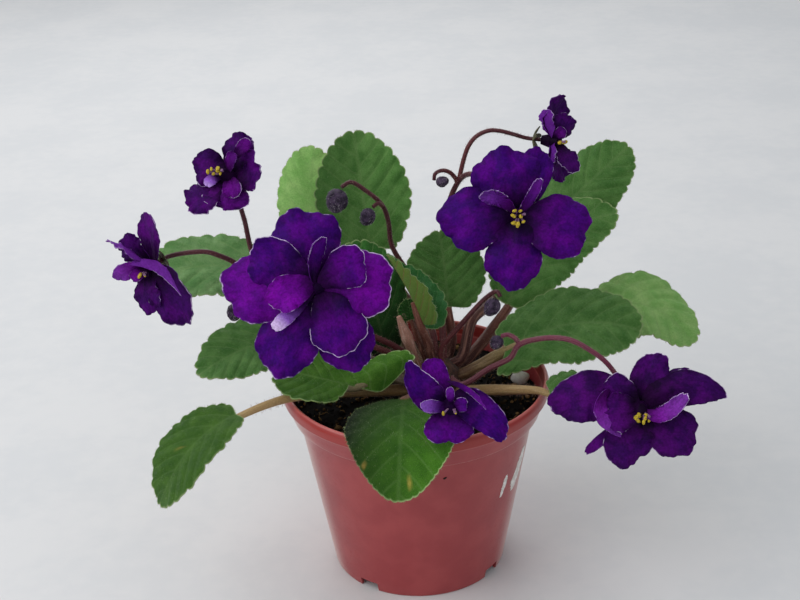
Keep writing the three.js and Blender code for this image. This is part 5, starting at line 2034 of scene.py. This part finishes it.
class Violet(Enum):
    """The finishes of the petals."""

    BRIGHT = PetalFinish("petal_violet")
    DUSKY = PetalFinish("petal_dusky", (18, 1, 26), (54, 5, 84), (122, 16, 152))


@dataclass
class Bloom:
    """One semi-double bloom: its petals from the back ones to the front ones, and its anthers.

    Attributes:
        centre: The middle of the bloom.
        face: The way that it faces.
        petals: Its petals, from the back layer to the front one.
        anther_at: The offset of its anthers, across, up and near.
        anthers: How many anthers show, and how far they spread across and up.
        violet: The finish of its petals.
    """

    name: str
    centre: Point
    face: Point
    petals: tuple[Petal, ...]
    anther_at: Point
    anthers: tuple[int, float, float] = (2, 0.8, 0.3)
    violet: Violet = Violet.BRIGHT

    def __post_init__(self) -> None:
        """Works out the bloom's own directions."""
        self.facing = unit(np.array(self.face, float))
        up = np.array([0.0, 0.0, 1.0])
        self.upward = unit(up - self.facing * self.facing[2])
        self.right = np.cross(self.upward, self.facing)

    def build(self, skins: Skins, chance: Chance) -> None:
        """Makes the petals and the anthers in place of their plain solids.

        Args:
            skins: The materials by finish.
            chance: The source of chance.
        """
        draft = Draft()
        centre = np.array(self.centre)
        hub = [centre - self.facing * HUB_BACK, centre, centre + seen(self.anther_at) * HUB_REACH]
        grow_tube(draft, smooth_path(hub, steps=12), (*HUB_RADII, HUB_RADII[1] * 0.7), sides=24)
        # The hub takes the dark throat colour of the petals' painted shade.
        draft.plane[-1][:, 0] = HUB_PLACE
        for i, shape in enumerate(self.petals):
            shape.sheet(self.centre, PETAL_PHASE * i).grow(draft, shape.tone)
            plane = draft.plane[-1]
            plane[:, 2] *= 1 + np.where(plane[:, 1] > 0, *shape.rim)
            draft.trace[-1][:, 2] = shape.pale
        draft.piece(f"{self.name}_petals", [skins[self.violet]], Slot.PETAL, self.name)
        self.build_anthers(skins, chance)

    def build_anthers(self, skins: Skins, chance: Chance) -> None:
        """Makes the yellow anthers on their pale filaments round the pistil.

        Args:
            skins: The materials by finish.
            chance: The source of chance.
        """
        draft = Draft()
        count, across, up = self.anthers
        middle = np.array(self.centre) + seen(self.anther_at)
        foot = np.array(self.centre) + self.facing * 0.6
        for i in range(count):
            angle = 2 * math.pi * i / count + 0.4 * chance.random()
            reach = 0.35 if i == 0 and count > 4 else 0.85 + 0.3 * chance.random()
            near = 0.7 * chance.random() - 0.3
            at = middle + seen((across * reach * math.cos(angle), up * reach * math.sin(angle), near))
            turn = np.array(Matrix.Rotation(ANY_TURN * chance.random(), 3, Vector(chance.normal(size=3))))
            size = 0.65 + 0.4 * chance.random()

            def bean(
                around: Array, rise: Array, at: Array = at, turn: Array = turn, size: float = size
            ) -> Array:
                """The skin of one anther, with the groove between its two sacs."""
                flat = np.sqrt(1 - rise**2)
                groove = 1 - 0.34 * np.exp(-((around - math.pi / 2) ** 2) / 0.12) * flat
                lump = 1 + 0.08 * np.sin(4 * around + 5 * rise)
                rows = [0.66 * flat * np.cos(around), 0.6 * flat * np.sin(around) * groove, 1.05 * rise]
                return at + np.column_stack(rows) * column(size * lump * groove**0.3) @ turn.T

            grow_egg(draft, bean, plane=False)
            stem = smooth_path([tuple(foot), tuple((foot + at) / 2 + seen((0.3, 0.2, 0.4))), tuple(at)], 8)
            grow_tube(draft, stem, (0.42, 0.3, 0.3), sides=8, tone=0.8)
        tip = middle + seen((0.9 * across, 0.4 * up, 0.8))
        pistil = smooth_path([tuple(foot), tuple((foot + tip) / 2), tuple(tip)], 8)
        grow_tube(draft, pistil, (0.5, 0.34, 0.3, 0.46), sides=10, tone=0.8)
        node = self.name.replace("bloom", "anthers")
        draft.piece(f"{self.name}_anthers", [skins[Mottled.ANTHER]], Slot.ANTHER, node)

    def calyx(self, draft: Draft) -> None:
        """Adds the star of pointed sepals behind the bloom to its stalk's mesh.

        Args:
            draft: The stalk's mesh.
        """
        foot = np.array(self.centre) - self.facing * (HUB_BACK + STALK_GAP + CALYX_THICKNESS + CALYX_CUP)
        turn = turns(CALYX_POINTS)
        low, high = CALYX_RADII
        radius = low + (high - low) * np.abs(np.cos(2.5 * turn)) ** 1.6
        outline = np.column_stack([radius * np.cos(turn), radius * np.sin(turn)])

        def place(x: Array, y: Array, share: Array) -> Array:
            """The places in space of flat points of the calyx."""
            cup = CALYX_CUP * (x * x + y * y) / high**2
            return foot + self.right * column(x) + self.upward * column(y) + self.facing * column(cup)

        star = Sheet(outline, np.zeros(2), place, high, high, CALYX_THICKNESS, CALYX_RINGS)
        star.grow(draft, finish=1)


BLOOMS = (
    Bloom("bloom_upper_left", (-58.7, 8, 139.5), (-0.7, -0.54, 0.48), petals=(
        Petal(((0.5, 1, -1.5), (3, 7, -2.5), (5.8, 13.8, -2)), 11, (-0.4, 0, 0.9), (0.5, 0.5), 0.05),
        Petal(((1, 0, -0.5), (6.5, 1.8, 0.5), (9.6, 4.6, 4.5)), 16.5, (-0.6, 0.1, 0.8), (1.5, 1.5), 0.1),
        Petal(((-1, 0.3, -0.6), (-5.6, 2.4, 0), (-11, 2.6, -0.8)), 12, (0.2, 0.1, 1), (1, 1), 0.05,
              (0.6, 0.1)),
        Petal(((-0.5, -0.8, -0.3), (-7, -5.4, 0.6), (-13.8, -9.4, 0)), 11.5, (0.1, 0.5, 0.85), (-0.5, -0.5),
              tone=0.15, rim=(0.9, 0.3), frill=0.6),
        Petal(((0, -1, 0), (-0.6, -6, 1.6), (-1.4, -10.8, 1.4)), 15, (0, 0.4, 0.9), (-0.8, -0.8), tone=0.35,
              rim=(0.9, 0.9), frill=0.6),
        Petal(((2.2, 5, 1), (5, 8.8, 2.6), (7.8, 10.8, 3)), 4, (-0.3, -0.4, 0.85), (0, 0), tone=0.35,
              rim=(1, 0.1)),
        Petal(((0.3, 0.8, 0.6), (1.4, 4.6, 3), (3, 7, 3.6)), 4, (-0.5, -0.2, 0.8), (0.8, 0.8), 0.4),
        Petal(((-0.8, 0, 0.6), (-4.6, -0.8, 3), (-6.2, -3.6, 3.4)), 3.8, (0, 0.3, 0.9), (-0.5, -0.5),
              pale=1.3),
        Petal(((0.5, -0.8, 1), (1.4, -3.8, 3), (2, -7.2, 3.2)), 6.2, (-0.1, 0.3, 0.95), (0.8, 0.8), tone=0.6,
              rim=(1, 0.4)),
    ), anther_at=(-3.6, 1.3, 3.4), anthers=(6, 2.3, 0.9), violet=Violet.DUSKY),
    Bloom("bloom_left", (-84.4, -8, 115), (-0.55, -0.65, -0.1), petals=(
        Petal(((-0.5, 0.8, -1), (-5, 6, -2.2), (-9.2, 9.6, -3)), 10, (-0.5, -0.3, 0.8), (0.5, 0.5), 0,
              (0.1, 0.1)),
        Petal(((1.5, 0.8, -0.8), (1, 9.5, -0.5), (-0.8, 17.6, 0.4)), 11.5, (-0.78, 0, 0.62), (0.8, 0.8),
              ruffle=0.02, frill=0.1),
        Petal(((0, -1, 0.6), (-0.8, -7.6, 1.2), (1.6, -14.2, 0.4)), 9.5, (-0.4, 0, 0.9), (0.6, -0.6), 0.05),
        Petal(((0.6, -0.6, 0.6), (6.6, -8, 2.6), (11.2, -19, 1.4)), 14, (-0.4, -0.1, 0.9), (1, 1.5), tone=0,
              rim=(0.6, 0.3), taper=0.1),
        Petal(((-0.5, 1.2, 0.8), (-6.8, 6.2, 1.8), (-13, 9.4, 1)), 7, (-0.2, -0.9, -0.1), (0.5, 0.5),
              tone=0.5, rim=(0.7, 0.7), pale=0.15, taper=-0.3),
        Petal(((-0.8, 0, 0.6), (-6, -0.4, 2), (-10.8, -3, 1.6)), 5.6, (-0.3, -0.5, 0.8), (0.4, 0.4), tone=0.8,
              pale=0.25),
        Petal(((-0.5, -0.6, 1), (-3, -2, 2.4), (-5.4, -3.4, 2.4)), 4, (-0.3, 0, 0.9), (0.4, 0.4), 0.4),
        Petal(((-5.8, 1.4, 3), (4.4, -0.4, 4.6), (13.4, -11.8, 3)), 3.9, (-0.2, -0.6, -0.75), (0.5, 0.5),
              tone=0.6, rim=(1, 0.2), pale=0.2, taper=0),
    ), anther_at=(-1.6, -2.4, 3.2), violet=Violet.DUSKY),
    Bloom("bloom_front_left", (-29.4, -30, 116.7), (-0.05, -0.93, 0.36), petals=(
        Petal(((0, 1, -1.5), (-3, 12.5, 0.4), (-4.6, 24, -2.5)), 21.5, rise=(-2, -2), tone=0.12),
        Petal(((0.5, -1, -2), (6.5, -13.5, -1), (12, -25.4, -2.5)), 17, rise=(-1.2, -1.2), tone=0.12),
        Petal(((-1, 0, -0.8), (-14.5, 0.8, 1.4), (-29.4, -1, -1.8)), 21.5, rise=(-2.4, -2.4), tone=0.5),
        Petal(((1, 0, -0.8), (11.5, 0.8, 1.6), (23, 0.6, -1)), 20.5, rise=(-2.4, -2.4), tone=0.62,
              rim=(0.5, 0.7)),
        Petal(((-0.5, -1, -0.3), (-8.2, -13.4, 1.4), (-14.1, -26.7, -1.2)), 18.5, rise=(-2, -2), tone=0.15),
        Petal(((0.5, -1, 1), (5, -10.5, 3.4), (8.3, -20.5, 2)), 16.5, rise=(-2.6, -2), tone=0.14,
              rim=(0.7, 0.6), taper=0.4),
        Petal(((-1, 0.5, 1), (-11, 6.5, 3), (-20.5, 10.7, 2.6)), 14.5, rise=(-1.6, 1.6), tone=0.1,
              rim=(0, 0.8), taper=0.4),
        Petal(((0.5, 0.5, 1.2), (8, 5, 3.6), (14.8, 7.4, 3.4)), 12.5, rise=(1.4, -1.6), tone=0.25,
              rim=(1, 0.5), taper=0.4),
        Petal(((-0.6, 1, 1.6), (-0.4, 8.9, 3.6), (2.8, 14.7, 3.6)), 5.6, (0.4, 0, 0.9), (2, -1.4), tone=0.15,
              rim=(1, 0.7), taper=0.1),
        Petal(((-0.2, 0.6, 1), (-7.5, -1, 5.6), (-14.3, -5.2, 5)), 10.5, rise=(0.8, 0.8), tone=0.8,
              rim=(0.4, 0.3), taper=0.4),
        Petal(((-0.8, -0.8, 0.8), (-8.4, -7.8, 3), (-14, -12.4, 4)), 4.4, (0, 0.2, 1), (-0.4, -0.4),
              rim=(0.8, 0.8), pale=1.8),
    ), anther_at=(-2.4, -1, 2), anthers=(1, -0.8, -0.3)),
    Bloom("bloom_top_right", (47.4, 24, 142.5), (0.93, -0.3, -0.05), petals=(
        Petal(((0, 0.8, -0.8), (0.6, 8, -1), (4.8, 14.8, -0.6)), 11, (0.7, -0.3, 0.6), (0.8, 0.8), 0.05),
        Petal(((0, -0.8, -0.4), (1.6, -7.2, 0.6), (2.6, -13.6, 0.4)), 11, (0.75, 0, 0.65), (0.6, 0.6),
              tone=0.1, rim=(0.5, 0.2)),
        Petal(((-0.3, 0.6, 0.6), (-1.8, 5.6, 2.4), (-2.8, 10.2, 2.6)), 7, (0.8, -0.1, -0.5), (0.5, 0.5),
              tone=0.3, rim=(0.6, 1)),
        Petal(((0.5, 0.5, 0.4), (3.4, 4, 2), (5.8, 8.4, 2.2)), 8.5, (0.2, -0.5, 0.85), (-0.8, -0.8), 0.1),
        Petal(((0.5, -0.6, 0.6), (4, -5.6, 2.4), (7.8, -10.4, 2)), 7.5, (0.3, 0.4, 0.85), (0.6, 0.6),
              rim=(0.8, 0.8)),
        Petal(((0.4, 0.2, 1), (2.2, 2, 3.2), (4.2, 3.2, 3.6)), 4, (0.2, 0, 0.95), (0.4, 0.4), 0.3,
              (0.6, 0.6)),
        Petal(((0.2, -0.5, 1), (-0.6, -4, 2.8), (-0.8, -7.6, 3)), 5, (0.8, 0, -0.4), (0.4, 0.4), 0.2,
              (0.6, 0.6)),
    ), anther_at=(3.2, -0.8, 2.6), violet=Violet.DUSKY),
    Bloom("bloom_right_front", (33.6, -4, 127.6), (0.02, -0.92, 0.38), petals=(
        Petal(((0.5, 1, -1.8), (4.8, 11, -1.5), (8.4, 21.5, -2.5)), 11.5, tone=0.05, rim=(0.1, 0.1)),
        Petal(((0, 1, -0.8), (-2.6, 11, 1.2), (-4.8, 21.6, -1.2)), 21.5, rise=(-2, -2), tone=0.12,
              rim=(0.1, 0.1)),
        Petal(((-1, 0, -0.4), (-12, 0, 1.8), (-24, -4, -0.8)), 20, rise=(-2.2, -2.2), tone=0.12,
              rim=(0.1, 0.1)),
        Petal(((1, -0.3, 0), (11.5, -3, 2.2), (22.8, -6.4, -0.4)), 20, rise=(-2.2, -2.2), tone=0.24,
              rim=(0.1, 0.1)),
        Petal(((0, -1, 0.4), (-1.2, -11.5, 1.8), (-3.8, -23, -0.6)), 17.5, rise=(-2, -2), tone=0.12,
              rim=(0.1, 0.1)),
        Petal(((-0.5, 0.5, 1), (-6, 5.2, 3.4), (-11.8, 5.6, 3.6)), 4.4, (0, 0, 1), (-0.5, 2), tone=0.4,
              rim=(0.2, 1), pale=0.25, frill=3),
        Petal(((0.6, 0.4, 0.8), (4.2, 5.5, 3.6), (7.6, 11.5, 3.4)), 3.4, (0, 0, 1), (2, 0), tone=0.4,
              rim=(1, 0.6), pale=0.1, frill=1.6),
    ), anther_at=(0.3, -0.6, 3.8), anthers=(7, 2, 2.2)),
    Bloom("bloom_low_front", (10.2, -46, 83), (0.05, -0.8, 0.6), petals=(
        Petal(((-0.6, 1, -0.7), (-3.9, 8.4, -1.4), (-6.4, 14.2, -1.8)), 7.5, (0, 0, 1), tone=0.35),
        Petal(((-1, 0.6, -0.3), (-7.6, 3.8, 0.2), (-12.7, 13.8, 1.8)), 9.5, (0.3, -0.1, 0.95), (0.4, 2.2),
              tone=0.1, rim=(0.3, 1), taper=-0.15),
        Petal(((0.4, 2.4, -0.2), (8.3, -1.6, 1.2), (16.4, -11, 0.8)), 10.5, (-0.1, 0.2, 0.95), (1, 0.3),
              tone=0.05, rim=(0.4, 0.2), taper=0),
        Petal(((0, -0.8, 0.4), (-0.8, -6.6, 1.8), (-1, -11.6, 1)), 15, (0, 0.3, 0.95), tone=0.3),
        Petal(((-0.9, 7.2, 0.6), (5.8, 4, 1.7), (13.2, -4, 0.9)), 1.8, (0, 0.5, 0.85), (0, 0), tone=0.4,
              rim=(1, 0.6), pale=0.1, taper=0),
        Petal(((-0.6, -0.4, 1.4), (-5, -0.2, 3.2), (-9.3, 0.4, 3.2)), 4, (0, 0.2, 0.95), (0.3, 0.3),
              rim=(0.4, 0.9), pale=0.6),
        Petal(((0, 0.6, 1.6), (-0.2, 3, 3.8), (-0.3, 5.8, 4)), 2.6, (0, 0, 1), (0, 0), 0.3, (0.6, 0.6), 0.1),
        Petal(((0.6, -0.4, 1.6), (2.8, 0.2, 3.8), (4.8, 0.4, 4)), 4.4, (0, 0, 1), (0.3, 0.3), 0.2,
              (0.8, 0.8)),
    ), anther_at=(-0.6, -2.2, 3.6), anthers=(2, 1.9, 0.3)),
    Bloom("bloom_right", (69.7, -38, 75.4), (0.05, -0.85, 0.52), petals=(
        Petal(((1, 0.8, -1.4), (9.5, 6.6, -1.6), (17.4, 10, -2)), 7.5, (0, 0, 1)),
        Petal(((1, 1, -1), (3.4, 9.4, -0.4), (8.4, 16, -0.8)), 12, rise=(-0.8, -0.8), tone=0.1,
              rim=(0.6, 0.2), taper=0),
        Petal(((-1, 0.3, -0.6), (-14, 4.6, 0.8), (-27.4, -0.4, -1.6)), 16, (0, 0.2, 0.95), (-1.8, -1.8),
              tone=0.15, taper=0.15),
        Petal(((-1, -0.8, -0.9), (-9.4, -7.4, -0.8), (-17.6, -13.8, -1)), 3.6, rise=(0, 0)),
        Petal(((1.2, 0.4, -0.2), (13.5, 6, 1.4), (26.4, 2.6, -0.4)), 11.5, rise=(-1.4, -1.4), tone=0.1,
              rim=(0.5, 0.2), taper=-0.1),
        Petal(((0.8, -0.8, -0.2), (8.6, -6.6, 1.2), (16, -13.2, -0.6)), 15.5, rise=(-1.4, -1.4), tone=0.12),
        Petal(((-0.3, -1, 0.4), (-3.6, -9.2, 1.6), (-1.8, -17.2, 0)), 16, rise=(-1.6, -1.6), tone=0.05),
        Petal(((-0.6, 0.6, 0.8), (-6, 5.4, 2), (-10.8, 9, 1.6)), 9, rise=(-0.6, 0.8), tone=0.1,
              rim=(0.1, 0.8)),
        Petal(((-0.5, -0.2, 1.2), (-6, -0.8, 3), (-12, -0.8, 3.4)), 12, rise=(1, 1), tone=0.15, rim=(0, 0)),
        Petal(((-9.6, 6.2, 2.6), (-12.8, -0.6, 4.6), (-6.6, -8, 3)), 5, (0.5, 0, 0.85), (0, 0), tone=1,
              rim=(1, 0.1), pale=0.3, taper=0),
        Petal(((0.2, -0.3, 0.8), (6.4, -1.8, 4.4), (14.2, 4.6, 3.6)), 5, (0, 0.4, 0.9), (1, 0), tone=1,
              rim=(0.8, 1), pale=0.3, frill=0.7),
    ), anther_at=(0.3, -3, 3.4), anthers=(7, 2.2, 1.1), violet=Violet.DUSKY),
)


@dataclass
class Branch:
    """One length of a flower stalk.

    Attributes:
        path: The points that it passes through, from the crown outwards.
        radii: Its radii at its foot and its end.
        bloom: The bloom that it carries, if its end has a calyx.
    """

    path: tuple[Point, ...]
    radii: Pair
    bloom: str | None = None


@dataclass
class Stalk:
    """A flower stalk with its branches and calyxes, grown together."""

    name: str
    branches: tuple[Branch, ...]
    stem: Stem = Stem.STALK

    def build(self, skins: Skins, fur: Fur) -> None:
        """Makes the stalk in place of its plain solid, and grows its hairs.

        Args:
            skins: The materials by finish.
            fur: The plant's hairs, which its own ones join.
        """
        draft = Draft()
        blooms = {bloom.name: bloom for bloom in BLOOMS}
        for branch in self.branches:
            points = list(branch.path)
            if branch.bloom:
                bloom = blooms[branch.bloom]
                for back in (HUB_BACK + STALK_LEAD, HUB_BACK + STALK_GAP):
                    points.append(tuple(np.array(bloom.centre) - bloom.facing * back))
                bloom.calyx(draft)
            path = smooth_path(points, len(points) * 7)
            grow_tube(draft, path, branch.radii, sides=12, relief=0.02)
            fur.on_stem(path, branch.radii, per_mm=9, reach=0.8)
        draft.piece(f"{self.name}_stem", [skins[self.stem], skins[Mottled.SEPAL]], Slot.STALK, self.name)


STALKS = (
    Stalk("stalk_back", (
        Branch(((9.8, 1.6, 73), (9.7, 4.6, 79.5), (9.6, 14, 87), (11, 23, 94), (12.3, 27, 101),
                (12.7, 27, 116.4), (13.5, 26.5, 121.7), (16.2, 25, 128.6), (18.7, 21, 132.6), (21, 16, 134.4),
                (26, 9, 133.5)), (1.2, 0.75), "bloom_right_front"),
        Branch(((16.4, 24.8, 129), (18.1, 25, 136.4), (20, 25, 141.6), (22.6, 24.5, 144.9), (26.6, 24, 146.8),
                (30.5, 24, 146.5), (34.5, 25, 145)), (0.8, 0.65), "bloom_top_right"),
        Branch(((16, 25, 128.2), (15.5, 25, 129.7), (13.5, 24.5, 132.3), (10.8, 24, 133.3),
                (8.5, 23.6, 132.3), (8.1, 23.4, 130.2)), (0.8, 0.6)),
    )),
    Stalk("stalk_right", (
        Branch(((10.8, -4.6, 71), (15.3, -10, 70.6), (24.4, -12, 77.3), (30.8, -14, 81.9),
                (33.6, -15.5, 87.3), (41.6, -19, 91.3), (49.1, -23, 92.4), (55.4, -24, 89.1),
                (60.4, -25.5, 85.4), (65.5, -26.5, 78)), (1, 0.75), "bloom_right"),
        Branch(((34, -15.2, 86.6), (32.6, -13.8, 88.8), (30.2, -12, 89.4), (28.2, -11.4, 88.6)), (0.8, 0.7)),
    ), Stem.MAGENTA),
    Stalk("stalk_centre", (
        Branch(((7, 1.8, 73), (6.8, 4.4, 79.5), (5, 13.8, 84.5), (1.6, 21.5, 92), (-6.6, 27, 105.1),
                (-7.7, 27, 114.8), (-9.6, 26, 120.8), (-15.1, 24, 127.1), (-19.9, 22, 130.9),
                (-22.8, 20, 129.9)), (1.1, 0.7)),
        Branch(((-9.4, 26, 120.4), (-10.9, 24, 122.2), (-12.6, 22.5, 121.6)), (0.7, 0.7)),
    )),
    Stalk("stalk_left", (
        Branch(((2.2, 1.4, 71.5), (-6, 2.4, 78.5), (-20, 3, 86), (-42, 6, 97), (-50, 8, 105), (-53, 8.5, 113),
                (-54.5, 10, 122), (-56, 13, 130)), (1.1, 0.75), "bloom_upper_left"),
        Branch(((-17, 2.8, 84.4), (-24, -6, 95), (-28, -14, 106)), (0.9, 0.75), "bloom_front_left"),
    )),
    Stalk("stalk_low_left", (
        Branch(((1.6, -1.8, 71.5), (-6, -3.5, 78), (-20, -4.5, 86), (-38, -2, 94), (-50, 1, 104),
                (-58, 2, 111.5), (-62.4, 0, 115), (-67, -1, 117.1)), (1.1, 0.75), "bloom_left"),
        Branch(((-37, -2.2, 93.4), (-46, -2, 97.6), (-53, -1.4, 99.6), (-57.6, -0.6, 98.4)), (0.9, 0.7)),
    )),
    Stalk("stalk_front", (
        Branch(((7.2, -6, 71), (8.4, -16, 76.5), (9.4, -29, 79)), (1, 0.75), "bloom_low_front"),
    )),
    Stalk("stalk_bud", (
        Branch(((9.6, -2.6, 73), (8.6, -2.4, 79), (16.8, -3, 90.7), (24.4, -3, 99.2), (27.3, -4.4, 101.4),
                (28.2, -5.8, 100.2)), (1.1, 0.7)),
    )),
)


@dataclass
class Bud:
    """One closed hairy bud, wrapped in its five sepals.

    Attributes:
        centre: Its middle.
        point: The way that its tip points.
        length: How long it is.
        width: How wide it is.
    """

    name: str
    centre: Point
    point: Point
    length: float
    width: float

    def shape(self, turn: Array, rise: Array) -> Array:
        """The bud's skin: an egg with the pointed sepals standing proud of it.

        Args:
            turn: The turns about its axis.
            rise: The heights along its axis, from -1 to 1.

        Returns:
            The points, one row each.
        """
        axis = unit(np.array(self.point, float))
        helper = np.array([0.0, 1.0, 0.0]) if abs(axis[2]) > 0.8 else np.array([0.0, 0.0, 1.0])
        first = unit(np.cross(axis, helper))
        second = np.cross(axis, first)
        flat = np.sqrt(1 - rise**2)
        wrapped = ease(0.6 - rise - 1.1 * np.abs(np.sin(2.5 * turn)), 0.0, 0.1)
        swell = 0.87 + 0.17 * wrapped - 0.04 * np.cos(7 * turn) * (1 - wrapped)
        radius = column(self.width / 2 * flat * swell)
        spread = first * column(np.cos(turn)) + second * column(np.sin(turn))
        return np.array(self.centre) + axis * column(self.length / 2 * rise) + spread * radius

    def build(self, skins: Skins, fur: Fur) -> None:
        """Makes the bud in place of its plain solid, and grows its hairs.

        Args:
            skins: The materials by finish.
            fur: The plant's hairs, which its own ones join.
        """
        draft = Draft()
        grow_egg(draft, self.shape, plane=True)
        draft.piece(f"{self.name}_skin", [skins[Mottled.BUD]], Slot.BUD, self.name)
        count = int(self.length * self.width * 6)
        turn = fur.chance.random(count) * 2 * math.pi
        rise = fur.chance.random(count) * 1.8 - 0.95
        skin_at = self.shape(turn, rise)
        out = unit(skin_at - np.array(self.centre))
        lean = unit(out + 0.9 * unit(np.array(self.point, float)) + 0.5 * fur.chance.normal(size=(count, 3)))
        reach = column(0.3 + 0.6 * fur.chance.random(count))
        grow_hairs(fur.buds, skin_at - out * 0.1, skin_at + lean * reach, FINE_HAIR)


BUDS = (
    Bud("bud_back_left", (-24.6, 18.6, 125.6), (-0.2, -0.3, -0.9), 8.2, 7.4),
    Bud("bud_back", (-14.6, 21, 118.6), (-0.4, -0.3, -0.8), 6.2, 5.2),
    Bud("bud_left", (-59.2, -0.2, 94.6), (-0.2, 0, -1), 6, 5.4),
    Bud("bud_top", (10.9, 23.2, 129.7), (0.95, 0, 0.2), 4.4, 3.8),
    Bud("bud_crown", (25.4, -6.6, 96.8), (-0.6, -0.2, -0.8), 6.4, 5.2),
    Bud("bud_right", (26.6, -11.2, 86.2), (-0.5, 0, -0.8), 5, 4.4),
)


@dataclass
class Stub:
    """The pale stub of a petiole on the crown."""

    path: tuple[Point, ...] = ((2.6, -4.4, 71), (0, -5, 78), (-5, -4.6, 93.5))
    radii: tuple[float, float, float, float] = (1, 1.3, 2, 0.8)

    def build(self, skins: Skins, fur: Fur) -> None:
        """Makes the stub in place of its plain solid.

        Args:
            skins: The materials by finish.
            fur: The plant's hairs, which its own ones join.
        """
        draft = Draft()
        path = smooth_path(self.path, 24)
        grow_tube(draft, path, self.radii, PETIOLE_SIDES, relief=0.05)
        draft.piece("petiole_stub", [skins[Stem.PALE]], Slot.STUB, "stub")
        fur.on_stem(path, (self.radii[0], self.radii[2]), per_mm=14)


@dataclass
class Studio:
    """The pale floor, the soft light and the camera."""

    target: Point = (-4.44, 0, 97.3)
    elevation: float = 25.28
    roll: float = -1.68
    distance: float = 500
    lens: float = 68.27
    floor_size: float = 6000

    def build(self, skins: Skins) -> None:
        """Sets up the whole studio.

        Args:
            skins: The materials by finish.
        """
        scene = bpy.context.scene
        scene.view_settings.view_transform = "Standard"
        self.build_camera(scene)
        self.build_floor(skins)
        world = bpy.data.worlds.new("soft_sky")
        scene.world = world
        world.use_nodes = True
        world.node_tree.nodes["Background"].inputs[0].default_value = (0.93, 0.96, 1.0, 1.0)
        world.node_tree.nodes["Background"].inputs[1].default_value = 0.55
        self.add_light("key", at=(-520, -260, 620), size=700, power=3.2)
        self.add_light("back", at=(-160, 660, 600), size=620, power=2.15)

    def build_camera(self, scene: bpy.types.Scene) -> None:
        """Places the camera.

        Args:
            scene: The scene that it looks at.
        """
        tilt, turn = math.radians(self.elevation), math.radians(self.roll)
        ahead = Vector((0, math.cos(tilt), -math.sin(tilt)))
        level, rise = Vector((1, 0, 0)), Vector((0, math.sin(tilt), math.cos(tilt)))
        right = level * math.cos(turn) + rise * math.sin(turn)
        up = rise * math.cos(turn) - level * math.sin(turn)
        eye = (Vector(self.target) - ahead * self.distance) * MM
        data = bpy.data.cameras.new("camera")
        data.lens = self.lens
        data.clip_start, data.clip_end = 0.02, 50
        camera = new_object("camera", data)
        place = Matrix((right, up, -ahead)).transposed().to_4x4()
        place.translation = eye
        camera.matrix_world = place
        scene.camera = camera

    def build_floor(self, skins: Skins) -> None:
        """Lays the pale floor.

        Args:
            skins: The materials by finish.
        """
        half = self.floor_size * MM / 2
        mesh = bpy.data.meshes.new("floor")
        corners = [(-half, -half, 0), (half, -half, 0), (half, half, 0), (-half, half, 0)]
        mesh.from_pydata(corners, [], [(0, 1, 2, 3)])
        mesh.materials.append(skins[Mottled.FLOOR])
        floor = new_object("floor", mesh)

    def add_light(self, name: str, at: Point, size: float, power: float) -> None:
        """Adds one large soft light that looks at the plant.

        Args:
            name: Its name.
            at: Where it is.
            size: How wide it is.
            power: How strong it is, in watts.
        """
        data = bpy.data.lights.new(name, "AREA")
        data.size = size * MM
        data.energy = power
        light = new_object(name, data)
        light.location = Vector(at) * MM
        light.rotation_mode = "QUATERNION"
        light.rotation_quaternion = (Vector(self.target) * MM - light.location).to_track_quat("-Z", "Y")


def build_skins() -> Skins:
    """Builds every material once, by its place in its list of finishes.

    Returns:
        The materials by finish.
    """
    effects = Effects()
    kinds = (*Mottled, *Plastic, *Blade, *Stem, *Violet)
    return {kind: kind.value.build(effects) for kind in kinds}


def main() -> None:
    """Builds the studio, the pot and the plant in order."""
    logging.basicConfig(level=logging.INFO, format="%(name)s %(message)s")
    chance = np.random.default_rng(SEED)
    skins = build_skins()
    Studio().build(skins)
    pot = Pot()
    pot.build(skins)
    for scrap in SCRAPS:
        scrap.build(pot, skins, chance)
    Soil().build(pot, skins, chance)
    Pebble().build(skins)
    crown = Crown()
    crown.build(skins)
    fur = Fur(chance)
    for leaf in LEAVES:
        leaf.build(crown.at, skins, fur)
    Stub().build(skins, fur)
    for grown in (*STALKS, *BUDS):
        grown.build(skins, fur)
    for bloom in BLOOMS:
        bloom.build(skins, chance)
    fur.build(skins)


if __name__ == "__main__":
    main()
